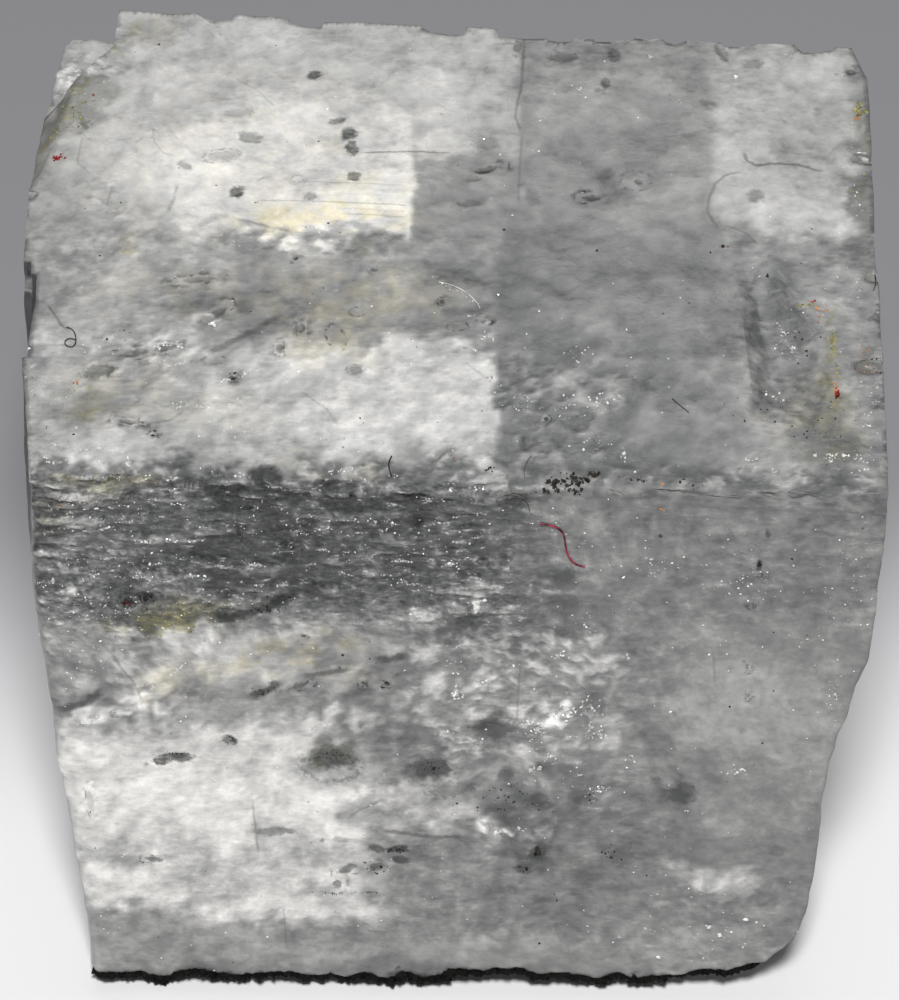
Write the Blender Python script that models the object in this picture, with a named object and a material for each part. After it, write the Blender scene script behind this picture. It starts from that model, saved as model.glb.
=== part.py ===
"""Halite cubic crystal: one loose block of rock salt, split from a bed along its three cube planes.

The block stands on its flat cleavage base. X runs along the long front ridge, +Y goes back into the
block and +Z is up. It is worked in millimetres, with places given as (x, deep, up): deep is measured
back from the front face and up from the base. At the end it is put in metres, with the origin in the
middle of its base.
"""

from math import ceil, pi, sin

import bmesh
import bpy
from mathutils import Vector, noise

MM = 0.001

# Driving dimensions of the block, in millimetres.
RIDGE = 24.1  # length of the front top edge
HEIGHT = 22.2
DEPTH_LEFT = 21.5  # the back face runs askew, so the block is deeper on its left
DEPTH_RIGHT = 19.5
BACK_FLARE = 0.55  # how much further each side stands out at the back than at the ridge
FRONT_SKEW = 0.36  # the ridge's right end stands this much further forward than its left end
FOOT_TAPER = 0.55  # how far each side draws in from the ridge down to the base
LEFT_BULGE = 0.7  # the left face bows out half way back
LEFT_BELLY = 0.35  # and its front edge bows out a little under the ridge
FOOT_GAP = 0.6  # the broken front foot clears the ground by this much

GRID_STEP = 1.4  # spacing of the block's surface grid
WAVE = 0.06  # height of the slow waves that no cleavage face is free of
WAVE_LENGTH = 5.0
RIPPLE = 0.035
RIPPLE_LENGTH = 1.7
WAVES_START = 0.8  # the waves fade in over this distance above the flat base

CUTTER_STEP = 1.5  # spacing of the grid on a cutter, which makes the broken edges ragged
RAGGED = 0.15
SMOOTH = 0.03
RAGGED_LENGTH = 1.25
PAST = 2.0  # how far a cutter runs past the block

BREAK_STEP = 0.7
BREAK_DEPTH = 4.4  # how far back the broken right edge of the front face reaches
BREAK_LEAN = 0.06  # the break runs out to the right by this share of its depth
BREAK_RAGGED = 0.08

NICK_WALK = 2.0  # spacing of the small bruises along the block's sharp edges
NICK_GAPS = 0.12  # more of this leaves more of the edge whole
WELD = 0.012  # corners closer than this become one

SALT_COLOUR = (0.78, 0.78, 0.76, 1.0)
SALT_ROUGHNESS = 0.35

LEFT, RIGHT = -RIDGE / 2 - PAST, RIDGE / 2 + PAST
FRONT, BACK = -PAST, DEPTH_LEFT + PAST
UNDER, OVER = -PAST, HEIGHT + PAST
LEDGE = HEIGHT - 1.25  # the low ledge at the back left corner

# Slabs split off along the cube planes: name, x, deep, up, and the axis across the smooth floor.
SLABS = (
    # The top face: small lips are gone from its back and left edges.
    ("back_middle_lip", (1.1, 5.4), (20.0, BACK), (HEIGHT - 0.6, OVER), "z"),
    ("left_lump_step", (LEFT, -12.7), (8.6, 9.5), (HEIGHT - 0.7, OVER), "x"),
    # The base: the block stands on its middle, and its front edge clears the ground.
    ("front_foot_left", (LEFT, 0.2), (FRONT, 1.6), (UNDER, FOOT_GAP), "z"),
    ("front_foot_middle", (-0.2, 2.0), (FRONT, 2.3), (UNDER, FOOT_GAP + 0.4), "z"),
    ("front_foot_right", (1.7, RIGHT), (FRONT, 1.4), (UNDER, FOOT_GAP + 0.08), "z"),
    ("base_back_step", (-5.0, RIGHT), (16.4, BACK), (UNDER, 0.45), "z"),
    ("base_left_step", (LEFT, -9.9), (6.0, 15.2), (UNDER, 0.3), "z"),
    # The back face: three plates at different depths.
    ("back_upper_plate", (LEFT, 0.9), (20.6, BACK), (11.6, HEIGHT - 2.3), "y"),
    ("back_lower_right", (4.2, RIGHT), (19.2, BACK), (UNDER, 8.4), "y"),
    ("back_lower_left", (LEFT, -4.6), (20.8, BACK), (UNDER, 5.2), "y"),
    ("back_notch", (6.6, 9.4), (19.1, BACK), (8.4, 13.8), "y"),
    # The right face: a tall plate is gone behind the front edge, and a low one at the back.
    ("right_tall_plate", (12.02, RIGHT), (7.4, 15.0), (6.3, HEIGHT - 1.4), "x"),
    ("right_low_plate", (11.3, RIGHT), (2.9, 12.4), (UNDER, 9.2), "x"),
    ("right_back_plate", (11.7, RIGHT), (11.2, BACK), (UNDER, 6.9), "x"),
    ("right_thin_plate", (11.92, RIGHT), (3.4, 7.9), (15.6, HEIGHT - 2.9), "x"),
    # The left face: steps run down from the ledge.
    ("left_low_plate", (LEFT, -12.05), (2.6, 12.0), (UNDER, 9.3), "x"),
    ("left_back_plate", (LEFT, -12.3), (14.3, BACK), (3.6, 13.2), "x"),
    ("left_middle_step", (LEFT, -12.55), (10.4, 15.6), (9.9, 17.4), "x"),
)

# Oblique breaks: name and the corners of the piece that is gone, each as (x, deep, up).
SHARDS = (
    (
        # The low ledge with its slanting wall, where the back left corner split away.
        "back_left_ledge",
        [(x, deep, up) for up in (LEDGE, OVER) for x, deep in ((-10.6, 23.8), (-10.85, 19.6))]
        + [(x, deep, up) for up in (LEDGE, OVER) for x, deep in ((-11.6, 18.4), (-12.3, 17.4))]
        + [(x, deep, up) for up in (LEDGE, OVER) for x, deep in ((-14.0, 16.7), (-14.0, 23.8))],
    ),
    (
        # Below the ridge the face leans back in one long slip, deepest at its left end.
        "ridge_slip",
        [(LEFT, 0.0, HEIGHT - 9.4), (RIGHT, -0.4, HEIGHT - 1.1), (LEFT, 0.8, OVER), (RIGHT, -0.2, OVER)]
        + [(LEFT, FRONT, HEIGHT - 9.4), (RIGHT, FRONT, HEIGHT - 1.1), (LEFT, FRONT, OVER)]
        + [(RIGHT, FRONT, OVER)],
    ),
    (
        "top_right_pit",
        [(8.1, 9.1, OVER), (9.1, 9.8, OVER), (10.4, 7.4, OVER), (10.9, 4.2, OVER), (10.4, 2.2, OVER)]
        + [(8.3, 2.7, OVER), (8.2, 8.9, HEIGHT), (9.1, 9.6, HEIGHT), (10.2, 7.2, HEIGHT)]
        + [(10.7, 4.2, HEIGHT), (10.2, 2.4, HEIGHT), (8.4, 2.9, HEIGHT), (8.7, 8.0, HEIGHT - 0.3)]
        + [(9.6, 6.2, HEIGHT - 0.24), (8.9, 3.9, HEIGHT - 0.34), (9.9, 3.4, HEIGHT - 0.18)],
    ),
    (
        "foot_right_slope",
        [(5.2, FRONT, 0.62), (5.2, 3.0, 0.2), (RIGHT, FRONT, 2.8), (RIGHT, 3.4, 1.5)]
        + [(5.2, FRONT, UNDER), (5.2, 3.0, UNDER), (RIGHT, FRONT, UNDER), (RIGHT, 3.4, UNDER)],
    ),
    (
        # A steep slip down the left wall, which bites a shallow bay out of the top's edge.
        "left_notch",
        [(-12.25, 5.2, OVER), (-12.2, 9.1, OVER), (-12.95, 5.6, HEIGHT - 3.6)]
        + [(-13.05, 8.7, HEIGHT - 3.6), (LEFT, 4.6, OVER), (LEFT, 9.5, OVER)]
        + [(LEFT, 5.2, HEIGHT - 3.6), (LEFT, 8.9, HEIGHT - 3.6)],
    ),
    (
        "back_right_corner",
        [(11.5, 22.0, OVER), (12.0, 19.6, OVER), (12.6, 17.0, OVER), (16.0, 17.0, OVER)]
        + [(16.0, 22.0, OVER), (12.1, 22.0, HEIGHT - 6.5), (13.1, 18.6, HEIGHT - 6.5)],
    ),
    (
        "back_left_foot",
        [(-10.8, 24.0, UNDER), (-12.0, 19.6, UNDER), (-16.0, 19.0, UNDER), (-16.0, 24.0, UNDER)]
        + [(-12.4, 24.0, 4.4), (-12.8, 21.8, 4.4), (-16.0, 24.0, 4.4)],
    ),
    (
        # The clay-coated slope that leads down to the ledge.
        "left_back_slope",
        [(-11.7, 18.6, HEIGHT + 0.1), (-12.3, 14.6, HEIGHT + 0.1), (-12.9, 12.6, HEIGHT + 0.1)]
        + [(-14.5, 12.6, HEIGHT + 0.1), (-14.5, 19.6, HEIGHT + 0.1), (-12.6, 19.0, HEIGHT - 0.9)]
        + [(-13.4, 14.4, HEIGHT - 0.9)],
    ),
)

# The right edge of the front face breaks back from a third of the way down: points (x, up) along it.
RIGHT_BREAK = (
    (9.2, UNDER),
    (9.3, 1.5),
    (9.8, 2.1),
    (10.25, 2.45),
    (10.5, 2.95),
    (10.7, 4.1),
    (10.85, 6.2),
    (10.92, 8.2),
    (10.95, 10.0),
    (11.0, 11.0),
    (11.17, 11.6),
    (11.2, 12.4),
    (11.42, 13.0),
    (11.5, 14.1),
    (11.56, 14.5),
    (11.74, 14.9),
    (11.9, 15.8),
    (12.7, 17.2),
)

# Sharp edges that took small knocks: name, two ends as (x, deep, up), and the size of the nicks.
EDGES = (
    ("ridge", (-11.6, 0.6, HEIGHT), (11.8, -0.25, HEIGHT), 0.24),
    ("back_edge", (-10.2, 21.3, HEIGHT), (11.6, 19.6, HEIGHT), 0.34),
    ("right_top_edge", (12.1, 0.6, HEIGHT), (12.5, 17.0, HEIGHT), 0.3),
    ("left_top_edge", (-12.6, 2.0, HEIGHT), (-13.0, 13.4, HEIGHT), 0.26),
    ("front_foot", (-11.0, -0.05, FOOT_GAP), (8.4, -0.05, FOOT_GAP + 0.3), 0.2),
    ("front_left_edge", (-12.25, 0.2, 19.8), (-11.6, 0.0, 1.6), 0.17),
    ("front_right_edge", (12.05, 0.0, 20.4), (11.9, 0.0, 15.6), 0.2),
    ("back_right_edge", (12.3, 19.5, 18.0), (11.9, 19.3, 2.0), 0.5),
    ("back_left_edge", (-12.6, 21.5, 18.6), (-12.2, 21.3, 5.2), 0.5),
)


def clear_scene():
    for obj in list(bpy.data.objects):
        bpy.data.objects.remove(obj)


def mix(a, b, t):
    return a + (b - a) * t


def wander(place):
    """A smooth push that changes from place to place, each part of it between -1 and 1."""
    return Vector([noise.noise(place + Vector((17.0 * k, -9.0 * k, 5.0 * k))) for k in range(3)])


def waves(place):
    """Slow waves with a finer ripple on them, as a vector in millimetres."""
    return wander(place / WAVE_LENGTH) * WAVE + wander(place / RIPPLE_LENGTH) * RIPPLE


def block_place(u, v, w):
    """The point at shares u, v, w (right, back, up) of the bare block, before its waves."""
    half = RIDGE / 2 - FOOT_TAPER * (1 - w) + BACK_FLARE * v
    bulge = LEFT_BULGE * sin(pi * v) * mix(0.35, 1.0, w) + LEFT_BELLY * sin(pi * w * w) * (1 - v)
    deep = mix(mix(0.0, -FRONT_SKEW, u), mix(DEPTH_LEFT, DEPTH_RIGHT, u), v)
    return Vector((mix(-half - bulge, half, u), deep, HEIGHT * w))


def salt_material():
    material = bpy.data.materials.new("salt")
    material.use_nodes = True
    shader = material.node_tree.nodes["Principled BSDF"]
    shader.inputs["Base Color"].default_value = SALT_COLOUR
    shader.inputs["Roughness"].default_value = SALT_ROUGHNESS
    shader.inputs["Metallic"].default_value = 0.0
    return material


def gridded_box(low, high, step):
    """A box from low to high, with every face divided at about the given step."""
    size = high - low
    counts = [max(1, ceil(side / step)) for side in size]
    form = bmesh.new()
    bmesh.ops.create_cube(form, size=1.0)
    bmesh.ops.translate(form, verts=form.verts, vec=(0.5, 0.5, 0.5))
    for axis, count in enumerate(counts):
        normal = Vector([float(axis == k) for k in range(3)])
        for i in range(1, count):
            everything = form.verts[:] + form.edges[:] + form.faces[:]
            bmesh.ops.bisect_plane(form, geom=everything, plane_co=normal * (i / count), plane_no=normal)
    for vert in form.verts:
        vert.co = low + vert.co * size
    return form


def object_from(form, name, material=None):
    """Makes an object of a form, from triangles that point out."""
    bmesh.ops.triangulate(form, faces=form.faces)
    bmesh.ops.recalc_face_normals(form, faces=form.faces)
    mesh = bpy.data.meshes.new(name)
    form.to_mesh(mesh)
    form.free()
    obj = bpy.data.objects.new(name, mesh)
    bpy.context.scene.collection.objects.link(obj)
    if material is not None:
        mesh.materials.append(material)
    return obj


def cleaved_block(name):
    """The whole block as it split from the bed: six faces that are nearly, but not quite, flat."""
    spans = Vector((RIDGE, (DEPTH_LEFT + DEPTH_RIGHT) / 2, HEIGHT))
    form = gridded_box(Vector((0, 0, 0)), spans, GRID_STEP)
    for vert in form.verts:
        share = [vert.co[k] / spans[k] for k in range(3)]
        place = block_place(*share)
        fade = min(1.0, place.z / WAVES_START)
        vert.co = place + waves(place) * fade
    return object_from(form, name, salt_material())


def as_cutter(obj):
    obj.hide_render = True
    obj.display_type = "WIRE"
    return obj


def slab_cutter(name, x, deep, up, smooth_axis, seed):
    """A box that takes a slab off along the cube planes. Its floor is smooth, its sides break ragged."""
    low = Vector((x[0], deep[0], up[0]))
    high = Vector((x[1], deep[1], up[1]))
    form = gridded_box(low, high, CUTTER_STEP)
    reach = Vector([SMOOTH if axis == smooth_axis else RAGGED for axis in "xyz"])
    for vert in form.verts:
        vert.co += wander(vert.co / RAGGED_LENGTH + Vector((seed, -seed, seed))) * reach
    return as_cutter(object_from(form, name))


def along_break(up):
    """Where the broken right edge stands at a height above the base."""
    for (low_x, low_up), (high_x, high_up) in zip(RIGHT_BREAK, RIGHT_BREAK[1:]):
        if up <= high_up:
            break
    return mix(low_x, high_x, (up - low_up) / (high_up - low_up))


def break_cutter(name):
    """Takes off the right end of the front face, along its broken edge."""
    low = Vector((0.0, FRONT, RIGHT_BREAK[0][1]))
    high = Vector((1.0, BREAK_DEPTH, RIGHT_BREAK[-1][1]))
    form = gridded_box(low, high, BREAK_STEP)
    for vert in form.verts:
        start = along_break(vert.co.z) + vert.co.y * BREAK_LEAN
        vert.co.x = mix(start, RIGHT, vert.co.x)
        vert.co += wander(vert.co / RAGGED_LENGTH) * BREAK_RAGGED
    return as_cutter(object_from(form, name))


def shard_cutter(name, points):
    """A pointed piece with flat sides: the hull of its points, each given as (x, deep, up)."""
    form = bmesh.new()
    for point in points:
        form.verts.new(point)
    bmesh.ops.convex_hull(form, input=form.verts)
    loose = [vert for vert in form.verts if not vert.link_faces]
    bmesh.ops.delete(form, geom=loose, context="VERTS")
    return as_cutter(object_from(form, name))


def nick_cutter(name, place, size, seed):
    """A small crushed nick on an edge: a lump of a few flat sides."""
    form = bmesh.new()
    bmesh.ops.create_icosphere(form, subdivisions=1, radius=1.0)
    for vert in form.verts:
        shake = wander(vert.co * 1.3 + Vector((seed, seed, -seed))) * 0.45
        vert.co = place + (vert.co + shake) * size
    return as_cutter(object_from(form, name))


def edge_nicks():
    """Nicks of uneven size strung along each sharp edge, with gaps where the edge stayed whole."""
    for name, start, end, size in EDGES:
        start, end = Vector(start), Vector(end)
        count = ceil((end - start).length / NICK_WALK)
        runs_across = abs(end.x - start.x) > abs(end.z - start.z)
        shape = Vector((1.6, 1.0, 1.0)) if runs_across else Vector((1.0, 1.3, 1.4))
        for i in range(count):
            place = start.lerp(end, (i + 0.5) / count)
            drift = wander(place * 0.9)
            if drift.z < -NICK_GAPS:
                continue
            bulk = size * (0.75 + abs(drift.x) * 1.6)
            place = place + drift * Vector((1.2, 0.25, 0.25))
            yield nick_cutter(f"{name}_nick_{i}", place, shape * bulk, i + size)


def split_off(block, cutter):
    """Takes the cutter out of the block and leaves a plain mesh of triangles."""
    cut = block.modifiers.new(cutter.name, "BOOLEAN")
    cut.object = cutter
    cut.operation = "DIFFERENCE"
    cut.solver = "EXACT"
    bpy.context.view_layer.update()
    graph = bpy.context.evaluated_depsgraph_get()
    whole = bpy.data.meshes.new_from_object(block.evaluated_get(graph))
    block.modifiers.clear()
    bpy.data.objects.remove(cutter)
    form = bmesh.new()
    form.from_mesh(whole)
    bmesh.ops.triangulate(form, faces=form.faces)
    form.to_mesh(whole)
    form.free()
    block.data = whole


def drop_slivers(block):
    """Welds corners that all but touch, where the surface stays closed without them."""
    form = bmesh.new()
    form.from_mesh(block.data)
    for edge in sorted(form.edges, key=lambda edge: edge.calc_length()):
        if not edge.is_valid or edge.calc_length() > WELD:
            continue
        ends = [{e.other_vert(vert) for e in vert.link_edges} for vert in edge.verts]
        if len(ends[0] & ends[1]) == 2:
            bmesh.ops.pointmerge(form, verts=edge.verts, merge_co=edge.verts[0].co)
    form.to_mesh(block.data)
    form.free()


def centre_on_base(block):
    """Moves the finished block so that the origin is the middle of its base, and puts it in metres."""
    xs = [vert.co.x for vert in block.data.vertices]
    ys = [vert.co.y for vert in block.data.vertices]
    middle = Vector(((min(xs) + max(xs)) / 2, (min(ys) + max(ys)) / 2, 0.0))
    for vert in block.data.vertices:
        vert.co = (vert.co - middle) * MM


def main():
    clear_scene()
    block = cleaved_block("halite_crystal")
    cutters = [slab_cutter(*slab, seed=7.3 * i) for i, slab in enumerate(SLABS)]
    cutters += [shard_cutter(*shard) for shard in SHARDS]
    cutters.append(break_cutter("right_break"))
    cutters += list(edge_nicks())
    for cutter in cutters:
        split_off(block, cutter)
    drop_slivers(block)
    centre_on_base(block)


main()
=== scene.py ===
"""The look of one loose block of halite: clear to milky rock salt, stained and dusty, on a pale surface."""

from math import cos, pi, radians, sin

import bpy
import numpy as np
from mathutils import Euler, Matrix, Vector, bvhtree, noise


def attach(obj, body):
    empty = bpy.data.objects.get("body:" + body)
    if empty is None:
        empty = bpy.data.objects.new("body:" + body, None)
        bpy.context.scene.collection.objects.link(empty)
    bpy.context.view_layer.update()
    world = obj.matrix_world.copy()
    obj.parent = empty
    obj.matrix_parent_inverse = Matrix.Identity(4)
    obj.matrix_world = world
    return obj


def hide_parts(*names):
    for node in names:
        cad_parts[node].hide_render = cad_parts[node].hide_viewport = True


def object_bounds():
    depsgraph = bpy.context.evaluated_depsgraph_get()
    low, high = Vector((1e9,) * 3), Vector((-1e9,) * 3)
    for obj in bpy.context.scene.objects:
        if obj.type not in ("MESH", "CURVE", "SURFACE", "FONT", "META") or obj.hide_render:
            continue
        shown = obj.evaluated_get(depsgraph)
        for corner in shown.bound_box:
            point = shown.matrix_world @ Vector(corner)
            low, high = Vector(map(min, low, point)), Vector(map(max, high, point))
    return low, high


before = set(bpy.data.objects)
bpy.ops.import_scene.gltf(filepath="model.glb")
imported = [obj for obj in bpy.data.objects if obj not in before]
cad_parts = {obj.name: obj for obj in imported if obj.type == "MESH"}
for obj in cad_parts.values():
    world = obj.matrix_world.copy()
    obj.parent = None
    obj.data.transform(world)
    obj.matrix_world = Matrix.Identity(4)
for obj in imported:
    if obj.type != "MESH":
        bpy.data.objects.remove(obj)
cad_low, cad_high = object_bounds()

# The camera looks down on the block at 44.5 degrees from the front, so that its top and its front
# face share the view about equally, with the ridge between them across the middle.
MM = 0.001
CAMERA_LENS = 160.3
CAMERA_TILT = radians(44.5)
CAMERA_DISTANCE = 125.0 * MM
ridge_middle = Vector((0.23, -10.59, 22.15)) * MM
aim_offset_across, aim_offset_up = -0.295 * MM, -0.337 * MM

looking = Vector((0, cos(CAMERA_TILT), -sin(CAMERA_TILT)))
upright = Vector((0, sin(CAMERA_TILT), cos(CAMERA_TILT)))
camera_place = ridge_middle - looking * CAMERA_DISTANCE
aim = ridge_middle + Vector((aim_offset_across, 0, 0)) + upright * aim_offset_up

bpy.ops.object.select_all(action="DESELECT")
bpy.ops.object.camera_add(location=camera_place)
camera = bpy.context.object
camera.rotation_euler = (aim - camera_place).to_track_quat("-Z", "Y").to_euler()
camera.data.lens = CAMERA_LENS
camera.data.sensor_width = 36.0
camera.data.clip_start = 1 * MM
camera.data.clip_end = 10.0
bpy.context.scene.camera = camera

# The block itself: one piece of rock salt, split from its bed along the cube planes. Its mesh is the
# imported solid's, cut finer where the faces show their grain, and finest at every small speck.
# Places on it are in millimetres: the top is read by x and y, the front face by x and z.
SHOWN_EDGE, HIDDEN_EDGE, FINEST_EDGE = 0.24, 0.9, 0.10
SHOWN_DEPTH, EDGE_GROWTH, OVAL_EDGE_SHARE = 1.6, 0.45, 0.9
GREATEST_CUTS, MERGE_WITHIN = 8, 0.0005
RIDGE_DEEP, RIDGE_HIGH, RIDGE_SKEW = -10.44, 22.2, -0.033

# Cracks and dark veins: half width, darkness, then the points that each one runs through.
TOP_CRACKS = (
    (0.06, 0.45, ((2.2, 9.3), (2.15, 8.1), (2.1, 7.0), (1.95, 6.1), (1.9, 5.5), (2.1, 4.8))),
    (0.05, 0.30, ((2.1, 4.8), (2.0, 3.0), (1.95, 1.5))),
    (0.05, 0.35, ((1.2, 9.1), (2.1, 9.15))),
    (0.05, 0.50, ((-2.9, 3.95), (-1.5, 3.95), (0.0, 3.9))),
    (0.04, 0.20, ((-4.8, 2.6), (-3.0, 2.45), (-1.3, 2.3))),
    (0.045, 0.30, ((-6.0, 1.7), (-3.0, 1.5), (-1.2, 1.4))),
    (0.07, 0.45, ((-6.6, 0.9), (-6.0, 0.7), (-5.3, 0.3))),
    (0.05, 0.40, ((-6.0, 2.5), (-5.75, 2.7), (-5.5, 2.8))),
    (0.07, 0.55, ((8.8, 4.0), (8.9, 3.5), (9.2, 3.25), (9.6, 3.4), (10.4, 3.4), (11.0, 3.1), (11.3, 3.1))),
    (0.06, 0.40, ((8.8, 3.0), (8.2, 2.8), (7.9, 2.4), (7.7, 1.8), (7.6, 1.2), (7.9, 0.5))),
    (0.05, 0.35, ((8.0, 0.7), (8.7, 0.3), (9.1, -0.4))),
    (0.04, 0.22, ((-9.2, 5.1), (-9.1, 4.3), (-8.8, 3.8), (-8.3, 3.6))),
    (0.04, 0.20, ((-8.7, 5.0), (-8.3, 4.3))),
    (0.06, 0.35, ((-8.6, 1.0), (-8.4, 1.6), (-8.3, 2.4))),
    (0.04, 0.25, ((-11.3, 4.6), (-11.4, 3.4), (-10.9, 2.8))),
    (0.04, 0.22, ((-10.4, 1.4), (-10.3, 2.2), (-9.9, 1.9))),
    (0.04, 0.20, ((-9.0, 0.8), (-8.6, 1.0), (-8.4, 2.0))),
    (0.05, 0.50, ((-11.9, -2.9), (-11.4, -3.9), (-11.1, -4.2))),
    (0.15, 0.55, ((-7.1, -5.2), (-6.4, -4.6), (-5.7, -4.0), (-5.0, -3.3))),
    (0.04, 0.20, ((-6.9, 7.6), (-6.0, 6.8), (-5.4, 5.9))),
    (0.05, 0.25, ((-7.6, 6.6), (-6.9, 6.45), (-6.3, 6.6))),
    (0.05, 0.30, ((-12.0, -4.8), (-10.9, -4.7), (-10.4, -4.9))),
    (0.06, 0.30, ((-9.6, -7.9), (-8.7, -8.0), (-8.0, -7.9), (-7.6, -7.4))),
    (0.05, 0.25, ((-3.4, 1.0), (-1.3, 0.9))),
    (0.05, 0.22, ((-4.4, -6.6), (-3.6, -7.4), (-3.2, -8.2))),
    (0.045, 0.22, ((0.3, -5.4), (1.1, -6.3))),
)
FRONT_CRACKS = (
    (0.18, 0.75, ((-11.8, 12.8), (-10.9, 13.2), (-10.2, 13.8))),
    (0.22, 0.95, ((-7.0, 16.7), (-6.1, 16.9), (-5.5, 17.2), (-5.0, 17.5), (-4.3, 17.9))),
    (0.20, 0.90, ((-6.0, 13.5), (-5.5, 13.9), (-4.9, 14.4))),
    (0.12, 0.65, ((-4.5, 14.5), (-3.5, 14.7), (-2.8, 14.9))),
    (0.18, 0.80, ((-2.3, 15.2), (-1.8, 15.3), (-1.2, 15.6))),
    (0.045, 0.35, ((-6.0, 9.0), (-5.95, 7.5), (-5.9, 6.6))),
    (0.04, 0.22, ((-5.2, 4.2), (-5.15, 2.0))),
    (0.05, 0.65, ((-3.9, 4.8), (-3.4, 4.8))),
    (0.05, 0.60, ((-2.8, 4.85), (-2.2, 4.8))),
    (0.05, 0.55, ((-1.9, 4.85), (-1.6, 4.9))),
    (0.10, 0.50, ((-2.2, 7.8), (-1.4, 7.65), (-0.5, 7.5), (0.5, 7.5))),
    (0.06, 0.35, ((-3.2, 8.2), (-2.8, 8.7), (-2.0, 9.2))),
    (0.05, 0.30, ((-9.9, 15.2), (-9.3, 14.1), (-9.1, 13.3))),
    (0.05, 0.30, ((1.9, 12.0), (1.95, 14.0), (2.0, 15.2))),
    (0.05, 0.25, ((7.6, 15.8), (7.7, 14.3))),
)

# The tears across the front face: both ends, left and right, ledges along it, and their half width.
FRONT_TEARS = (
    (-11.0, 21.2, -7.0, 21.6, 7, 0.08), (-11.7, 20.6, -7.5, 21.1, 7, 0.09),
    (-11.7, 19.8, -9.0, 20.4, 5, 0.08), (-9.0, 19.8, -7.0, 19.7, 3, 0.11),
    (-11.0, 18.8, -7.3, 18.9, 5, 0.09), (-10.8, 18.1, -7.0, 18.5, 5, 0.09),
    (-12.0, 17.9, -11.3, 18.1, 2, 0.08), (-10.0, 22.1, -5.4, 22.0, 5, 0.08),
    (-5.2, 21.9, -3.6, 21.7, 3, 0.07), (-5.8, 21.0, -1.5, 20.6, 8, 0.08),
    (-4.7, 20.2, -1.6, 20.3, 4, 0.08), (-4.0, 19.5, -1.0, 19.3, 4, 0.07),
    (-1.6, 21.8, 0.2, 21.6, 3, 0.06), (-0.8, 20.5, 1.2, 21.2, 3, 0.07), (-0.6, 19.9, 1.1, 20.2, 3, 0.06),
    (-0.3, 19.3, 0.9, 19.2, 2, 0.10), (-3.3, 18.9, -0.4, 18.1, 5, 0.07),
    (-6.9, 19.0, -5.2, 19.0, 2, 0.06), (-5.8, 18.1, -3.8, 18.3, 3, 0.06),
    (-11.2, 12.3, -9.3, 13.3, 2, 0.08), (-9.2, 13.4, -7.6, 15.2, 2, 0.08),
    (2.2, 12.9, 2.8, 12.3, 1, 0.12), (4.0, 13.1, 4.3, 11.9, 1, 0.12), (0.2, 14.2, 0.0, 13.2, 1, 0.09),
)
LEDGE_SEED = 5


def ledges_along(tears, chance):
    """Short wavy ledges, one after another along each tear: half width, and points."""
    ledges = []
    for left, left_high, right, right_high, pieces, half_wide in tears:
        for piece in range(pieces):
            start, end = piece + chance.uniform(0.0, 0.3), piece + chance.uniform(0.6, 0.95)
            shares = np.linspace(start, end, 4) / pieces
            wavy = chance.uniform(-0.14, 0.14) + chance.uniform(-0.07, 0.07, 4)
            across = left + (right - left) * shares
            high = left_high + (right_high - left_high) * shares + wavy
            ledges.append((half_wide * chance.uniform(0.7, 1.3), tuple(zip(across, high))))
    return ledges


FRONT_ROWS = ledges_along(FRONT_TEARS, np.random.RandomState(LEDGE_SEED))

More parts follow.
